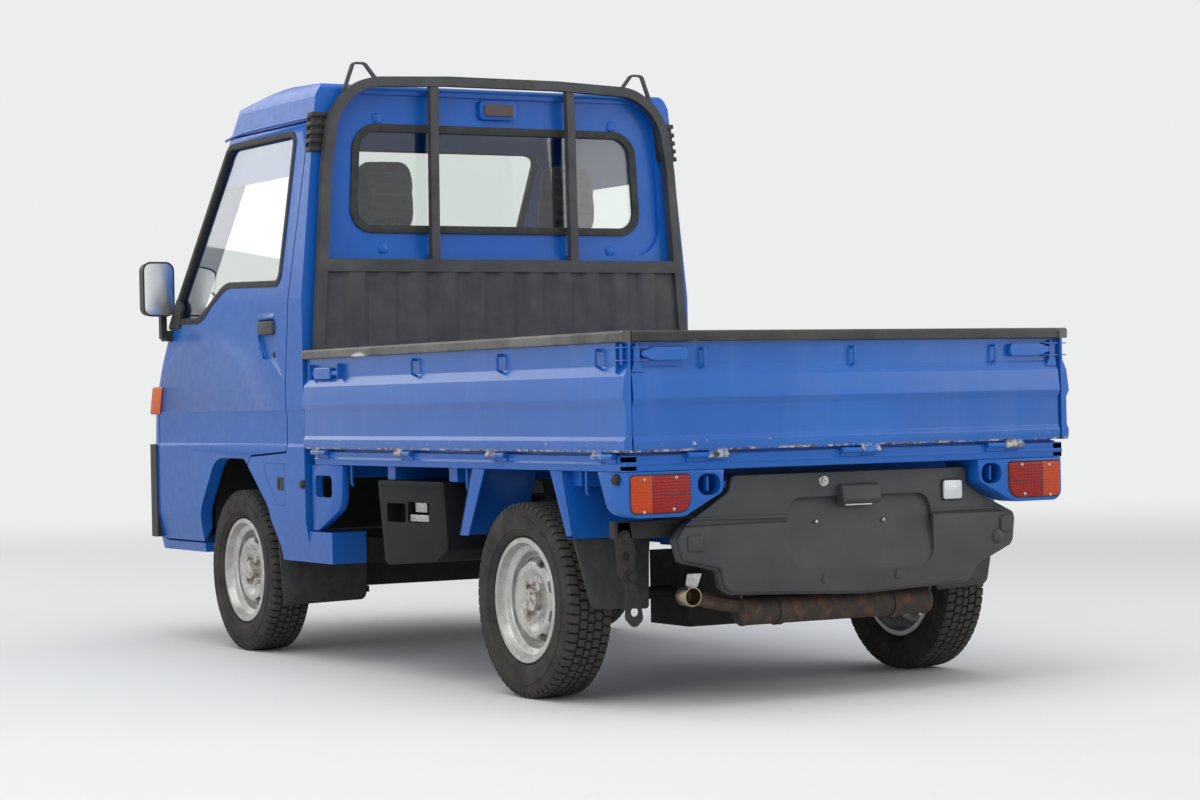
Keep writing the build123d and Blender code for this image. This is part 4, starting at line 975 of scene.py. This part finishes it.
parts = []
for rows, back, face, soft in ((lid_rows, 1569, 1594, 4.0), (swell_rows, 1580, 1607, 8.0)):
    pocket = lay(slab("Y", pocket_rows, 1578, 1640, 0.0), slanted)
    parts.append(carved(slab("Y", rows, back, face, soft, 3), pocket))
parts.append(lay(slab("Y", pocket_rows, 1572, 1579, 0.0), slanted))
for ledge in ([(188, 470, 3), (476, 476, 3), (476, 482, 3), (188, 480, 3)],
              [(-266, 468, 3), (-500, 470, 3), (-500, 477, 3), (-266, 478, 3)]):
    parts.append(slab("Y", ledge, 1590, 1598, 2.5))
for x in (83, -148):
    rib_rows = [(x - 9, 300, 4), (x + 9, 300, 4), (x + 6, 326, 4), (x - 6, 326, 4)]
    parts.append(slab("Y", rib_rows, 1600, 1611, 3.0))
parts.append(oblong("Y", (472, 418), (46, 40), 1600, 1612, 8, 4.0))
parts.append(oblong("Y", (-505, 430), (40, 46), 1600, 1614, 12, 5.0))
parts.append(dome((-478, 1600, 398), (0, 1, 0), 20, 16))
hood_rows = [(1574, 500, 4), (1612, 500, 14), (1622, 512, 8), (1612, 552, 12), (1574, 552, 4)]
parts.append(slab("X", hood_rows, -91, 27, 3.0, 3))
parts += [pin((x - 44, 1564, 300), (x - 8, 1564, 300), 9) for x in (-150, 190)]
piece(joined(*parts), "engine_lid_moulding", LID, "engine_lid", stands_for=("engine_lid",), crease=0.5)
lid_catch_rows = [(0, 0), (15, 0), (15, 2), (13, 4), (9, 4), (8, 7), (3, 7), (3, 4), (0, 4)]
screws = [turned(lid_catch_rows, (71, 1593, 562), (0, 1, 0))]
screws += [dome((x, 1583 + (POCKET_TOP - z) * 0.16, z), (0, 1, 0), 5, 3) for x, z in ((96, 458), (-114, 455))]
piece(joined(*screws), "engine_lid_screws", ZINC, "engine_lid")
piece(oblong("Y", (-337, 526), (62, 50), 1590, 1601, 8, 3.0), "reverse_lamp", CLEAR, "engine_lid")
rim = seal_ring([(-371, 498, 9), (-303, 498, 9.1), (-303, 554, 9.2), (-371, 554, 9.3)], 4.0, 0.0, 6.0)
piece(facing_back(rim, 1593), "reverse_lamp_rim", TRIM, "engine_lid")
piece(oblong("Z", (-32, 1597), (84, 16), 496, 503, 5, 2.0), "plate_lamp_lens", CLEAR, "engine_lid")


# Front: headlamps with bowls and rims, marker lamps, a slatted grille, a blank plate and the cowl strip
def swept(co):
    """A place on a headlamp, whose face falls back towards its top and its outer side."""
    return Vector((co.x, co.y + 0.24 * max(co.z - 760, 0) + 0.06 * max(co.x - 400, 0), co.z))


bowl = turned([(0, 0), (30, 2), (52, 12), (60, 26), (56, 27), (0, 6)], (470, -1590, 744), (0, -1, 0), 32)
lens = slab("Y", [(355, 684, 22), (585, 684, 22.1), (585, 812, 22.2), (355, 812, 22.3)], -1622, -1540, 5.0, 3)
pair("headlamp_", joined(bowl, lay(lens, swept)), CLEAR, stands_for="headlamps")
rim = seal_ring([(346, 675, 26), (594, 675, 26.1), (594, 821, 26.2), (346, 821, 26.3)], 12.0, -70.0, 2.0)
pair("headlamp_rim_", lay(facing_front(rim, -1620), swept), TRIM)
marker = slab("Y", [(612, 762, 8), (694, 762, 8), (694, 856, 8), (612, 856, 8)], -1592, -1500, 4.0)
lay(marker, lambda co: Vector((co.x, co.y + 0.5 * max(co.z - 800, 0) + 0.9 * max(co.x - 650, 0), co.z)))
pair("marker_lamp_", marker, AMBER)
slats = [block((-330, -1620, z - 4), (330, -1604, z + 4), 2.0) for z in (690, 708, 726, 744)]
grille_rows = [(-338, 676, 14), (338, 676, 14.1), (338, 758, 14.2), (-338, 758, 14.3)]
grille_ring = seal_ring(grille_rows, 9.0, 0.0, 18.0)
backing = block((-332, -1609, 680), (332, -1605, 754), 0)
piece(joined(facing_front(grille_ring, -1604), *slats, backing), "front_grille", TRIM)
plate = oblong("Y", (0, 470), (330, 165), -1651, -1648, 10, 1.0)
piece(plate, "front_plate_blank", SILVER[FRONT_AXLE_Y])
intake = [block((-420, -1649, z - 5), (420, -1640, z + 5), 2.0) for z in (590, 612, 634)]
piece(joined(*intake), "bumper_slots", COVER)
cowl = [block((-540, y - 5, z - 6), (540, y + 5, z + 2), 2.0) for y, z in ((-1512, 944), (-1500, 960))]
piece(joined(*cowl), "cowl_strip", TRIM)

# Cab inside: the dials' binnacle, column stalks, air vents and gear lever
binnacle_rows = [(-1300, 985, 20), (-1225, 1000, 16), (-1215, 1060, 20), (-1290, 1075, 26)]
parts = [slab("X", binnacle_rows, -470, -190, 6.0, 3)]
for side in (1, -1):
    stalk = [(-330 + side * 40, -1170, 960), (-330 + side * 120, -1150, 975), (-330 + side * 180, -1140, 985)]
    parts.append(rod(stalk, 5))
parts += [oblong("Y", (x, 930), (90, 40), -1262, -1244, 6, 2.0) for x in (480, 120, -60, -540)]
parts += [rod([(0, -1180, 560), (0, -1150, 640), (0, -1120, 740)], 7),
          dome((0, -1120, 735), (0, 0.3, 1), 20, 34)]
piece(joined(*parts), "dash_fittings", DASH)


def stuffed(start, voxel, most):
    """Padding under its cover: evened out, blown up as cloth under pressure and held to a most swelling."""
    mesh = bpy.data.meshes.new("cushion")
    bmesh.ops.scale(start, verts=start.verts, vec=(0.001, 0.001, 0.001))
    start.to_mesh(mesh)
    start.free()
    pad = bpy.data.objects.new("cushion", mesh)
    bpy.context.scene.collection.objects.link(pad)
    even = pad.modifiers.new("even", "REMESH")
    even.mode, even.voxel_size = "VOXEL", voxel
    smooth = pad.modifiers.new("soften", "SMOOTH")
    smooth.factor, smooth.iterations = 0.5, 8
    depsgraph = bpy.context.evaluated_depsgraph_get()
    flat = bpy.data.meshes.new_from_object(pad.evaluated_get(depsgraph))
    pad.modifiers.clear()
    pad.data = flat
    rest = [vert.co.copy() for vert in flat.vertices]
    cloth = pad.modifiers.new("cover", "CLOTH")
    cloth.settings.use_pressure = True
    cloth.settings.uniform_pressure_force = 4.0
    cloth.settings.effector_weights.gravity = 0.0
    for step in range(1, 21):
        bpy.context.scene.frame_set(step)
    depsgraph = bpy.context.evaluated_depsgraph_get()
    blown = pad.evaluated_get(depsgraph).to_mesh()
    for vert, place, swollen in zip(flat.vertices, rest, blown.vertices):
        move = swollen.co - place
        vert.co = place + move * min(1.0, most / max(move.length, 1e-6))
    pad.modifiers.clear()
    bpy.context.scene.frame_set(1)
    bm = bmesh.new()
    bm.from_mesh(flat)
    bpy.data.objects.remove(pad)
    bmesh.ops.scale(bm, verts=bm.verts, vec=(1000, 1000, 1000))
    return bm


def channelled(bm, middle_x, half, heights, depth):
    """Sewn channels across a pad at given heights, within half a width of its middle."""
    for vert in bm.verts:
        away = abs(vert.co.x - middle_x)
        fade = min(max((half - away) / 18.0, 0.0), 1.0)
        nearest = min(abs(vert.co.z - z) for z in heights)
        dip = depth * fade * math.exp(-(nearest / 5.5) ** 2)
        vert.co.y += dip * (-1 if vert.normal.y > 0.2 else (1 if vert.normal.y < -0.2 else 0))
    return bm


# Seats: cushion, back and head, sewn with cross channels; the second seat is the first one moved across
SEAT_X = 330.0
cushion_rows = [(-1000, 662, 30), (-1000, 778, 46), (-596, 762, 30), (-560, 662, 30)]
back_rows = [(-586, 770, 26), (-482, 1254, 34), (-404, 1258, 30), (-474, 690, 24)]
head_rows = [(-474, 1322, 26), (-462, 1546, 30), (-400, 1550, 28), (-406, 1322, 26)]
pads = {
    "seat_cushion": (slab("X", cushion_rows, 104, 556, 22.0, 3), 0.008),
    "seat_back": (slab("X", back_rows, 108, 552, 24.0, 3), 0.008),
    "seat_head": (slab("X", head_rows, 226, 434, 24.0, 3), 0.007),
}


def head_waisted(co):
    """A place on a seat head, which narrows towards its top and towards its foot."""
    wide = 1 - 0.3 * max((co.z - 1440) / 110, 0) ** 2 - 0.25 * max((1390 - co.z) / 70, 0) ** 2
    return Vector((SEAT_X + (co.x - SEAT_X) * wide, co.y, co.z))


for name, (start, voxel) in pads.items():
    pad = stuffed(start, voxel, 0.012)
    pad.normal_update()
    if name == "seat_head":
        lay(pad, head_waisted)
        channelled(pad, SEAT_X, 70, (1352, 1384, 1416, 1448, 1480, 1512), 12.0)
    if name == "seat_back":
        channelled(pad, SEAT_X, 130, (900, 980, 1060, 1140), 7.0)
    for word, shift in (("left", 0.0), ("right", -2 * SEAT_X)):
        copy = pad.copy()
        bmesh.ops.translate(copy, verts=copy.verts, vec=(shift, 0, 0))
        stands_for = ("seat_" + word,) if name == "seat_cushion" else ()
        made = piece(copy, name + "_" + word, CLOTH, stands_for=stands_for, crease=3.0)
        finer = made.modifiers.new("round", "SUBSURF")
        finer.levels, finer.render_levels = 1, 1
    pad.free()
for word, middle in (("left", SEAT_X), ("right", -SEAT_X)):
    stalks = [pin((middle + x, -436, 1230), (middle + x, -434, 1345), 6.0) for x in (-46, 46)]
    piece(joined(*stalks), "seat_head_stalks_" + word, ZINC)


# The tyre's carcass under its blocks, the radius where its tread starts, and the two grooves, in metres
CARCASS_R, TREAD_START_R, GROOVES = 0.25, 0.2405, ((0.0318, 0.0362), (0.0078, 0.0118))
SHOULDER_X, PITCHES = 0.034, 64


def tread(place, side, axle_y):
    """A tyre: its section spun about the axle, with the tread blocks raised from the carcass."""
    bm = bmesh.new()
    wall = [(0.045, 0.161), (0.049, 0.1685), (0.057, 0.1715), (0.063, 0.178), (0.0665, 0.186),
            (0.0695, 0.1875), (0.0712, 0.200), (0.072, 0.212), (0.0718, 0.2215), (0.0695, 0.2225),
            (0.0688, 0.231), (0.0660, 0.2385)]
    crown = [(0.0640, 0.2435), (0.0600, 0.2480), (0.0480, 0.2495), (0.0365, 0.2497), (0.0315, 0.2497),
             (0.0220, CARCASS_R), (0.0120, CARCASS_R), (0.0075, CARCASS_R), (0.0, CARCASS_R)]
    half = wall + crown
    rows = half + [(-a, r) for a, r in reversed(half[:-1])]
    steps = 4 * PITCHES
    chain = [bm.verts.new((a, 0, r)) for a, r in rows]
    lines = [bm.edges.new(ends) for ends in zip(chain, chain[1:])]
    bmesh.ops.spin(bm, geom=chain + lines, cent=(0, 0, 0), axis=(1, 0, 0), angle=math.tau, steps=steps,
                   use_merge=True)
    bmesh.ops.remove_doubles(bm, verts=bm.verts, dist=0.0001)
    blocks = []
    for face in bm.faces:
        centre = face.calc_center_median()
        across, radius = abs(centre.x), math.hypot(centre.y, centre.z)
        turn = int(round(math.atan2(centre.y, centre.z) / math.tau * steps - 0.5)) % steps
        shift = 0 if across > SHOULDER_X else (2 if across > 0.010 else 1)
        grooved = any(inner < across < outer for inner, outer in GROOVES)
        if radius > TREAD_START_R and not grooved and (turn + shift) % 4:
            blocks.append(face)
    raised = bmesh.ops.extrude_face_region(bm, geom=blocks)["geom"]
    bmesh.ops.delete(bm, geom=blocks, context="FACES")
    for vert in [v for v in raised if isinstance(v, bmesh.types.BMVert)]:
        out = Vector((0, vert.co.y, vert.co.z)).normalized()
        height = (TYRE_R - 0.0001 - CARCASS_R) if abs(vert.co.x) < 0.061 else 0.004
        vert.co += out * height
    for vert in bm.verts:
        if math.hypot(vert.co.y, vert.co.z) > TREAD_START_R:
            twist = 0.5 * max(abs(vert.co.x) - SHOULDER_X, 0) + 0.35 * min(abs(vert.co.x), SHOULDER_X)
            vert.co = Matrix.Rotation(side * twist * (1 if vert.co.x > 0 else -1), 3, "X") @ vert.co
    bmesh.ops.translate(bm, verts=bm.verts, vec=(side * HUB_X, axle_y, HUB_Z))
    made = piece(bm, "tread_" + place, TYRE[axle_y], "wheel_" + place, ("tyre_" + place,), unit=1.0)
    for face in made.data.polygons:
        centre = Vector(face.center) - Vector((side * HUB_X, axle_y, HUB_Z))
        face.use_smooth = math.hypot(centre.y, centre.z) < TREAD_START_R


for place, side, axle_y in WHEELS:
    tread(place, side, axle_y)


def floor_and_light():
    """A pale studio floor with soft lamps above and beside it."""
    bm = bmesh.new()
    bmesh.ops.create_grid(bm, x_segments=2, y_segments=2, size=40.0)
    mesh = bpy.data.meshes.new("studio_floor")
    bm.to_mesh(mesh)
    bm.free()
    finish, tree, coords = new_finish("floor_paper")
    paper = add_node(tree, "BsdfPrincipled", {"Base Color": linear("dadad8"), "Roughness": 0.9})
    away = add_node(tree, "VectorMath", None, {0: coords}, operation="LENGTH").outputs["Value"]
    glow = add_node(tree, "Emission", {"Color": linear("eceded"), "Strength": 1.0})
    sweep = add_node(tree, "MixShader", None,
                     {0: band(tree, away, 4.0, 12.0), 1: paper.outputs[0], 2: glow.outputs[0]})
    add_node(tree, "OutputMaterial", None, {"Surface": sweep.outputs[0]})
    mesh.materials.append(finish)
    ground = bpy.data.objects.new("studio_floor", mesh)
    bpy.context.scene.collection.objects.link(ground)
    world = bpy.data.worlds.new("studio")
    bpy.context.scene.world = world
    world.use_nodes = True
    tree = world.node_tree
    tree.nodes.clear()
    ray = add_node(tree, "LightPath")
    clear = reckoned(tree, "MAXIMUM", ray.outputs["Is Glossy Ray"], ray.outputs["Is Transmission Ray"])
    seen = reckoned(tree, "MAXIMUM", ray.outputs["Is Camera Ray"], clear)
    lit = add_node(tree, "Background", {"Color": linear("eef1f5"), "Strength": 0.8})
    shown = add_node(tree, "Background", {"Color": linear("eceded"), "Strength": 1.0})
    mixed = add_node(tree, "MixShader", None, {0: seen, 1: lit.outputs[0], 2: shown.outputs[0]})
    add_node(tree, "OutputWorld", None, {"Surface": mixed.outputs[0]})
    for place, aim, size, power in (
        ((1.0, 1.5, 6.0), (0, 0, 0.8), 6.0, 200.0), ((6.5, 4.0, 3.5), (0, 0.5, 0.7), 4.0, 90.0),
        ((-5.5, 5.5, 3.0), (0, 0.5, 0.7), 4.0, 90.0), ((2.0, -7.0, 4.0), (0, -1.0, 0.8), 4.0, 80.0),
    ):
        lamp = bpy.data.lights.new("softbox", "AREA")
        lamp.shape, lamp.size, lamp.energy = "SQUARE", size, power
        stand = bpy.data.objects.new("softbox", lamp)
        stand.location = place
        stand.rotation_euler = (Vector(aim) - Vector(place)).to_track_quat("-Z", "Y").to_euler()
        bpy.context.scene.collection.objects.link(stand)


def photo_camera():
    """The camera at the photograph's place, angle and lens."""
    yaw, pitch, roll = 0.5243, -0.0004, -0.0207
    look = Vector((-math.sin(yaw) * math.cos(pitch), -math.cos(yaw) * math.cos(pitch), math.sin(pitch)))
    across = look.cross(Vector((0, 0, 1))).normalized()
    up = across.cross(look)
    level = math.cos(roll) * across + math.sin(roll) * up
    upright = math.cos(roll) * up - math.sin(roll) * across
    data = bpy.data.cameras.new("photo_camera")
    data.lens, data.sensor_width, data.clip_end = 83.96, 36.0, 200.0
    camera = bpy.data.objects.new("photo_camera", data)
    facing = Matrix((level, upright, -look)).transposed().to_4x4()
    camera.matrix_world = Matrix.Translation((4.1636, 7.5318, 0.7841)) @ facing
    bpy.context.scene.collection.objects.link(camera)
    bpy.context.scene.camera = camera


floor_and_light()
photo_camera()
bpy.context.scene.view_settings.view_transform = "Standard"
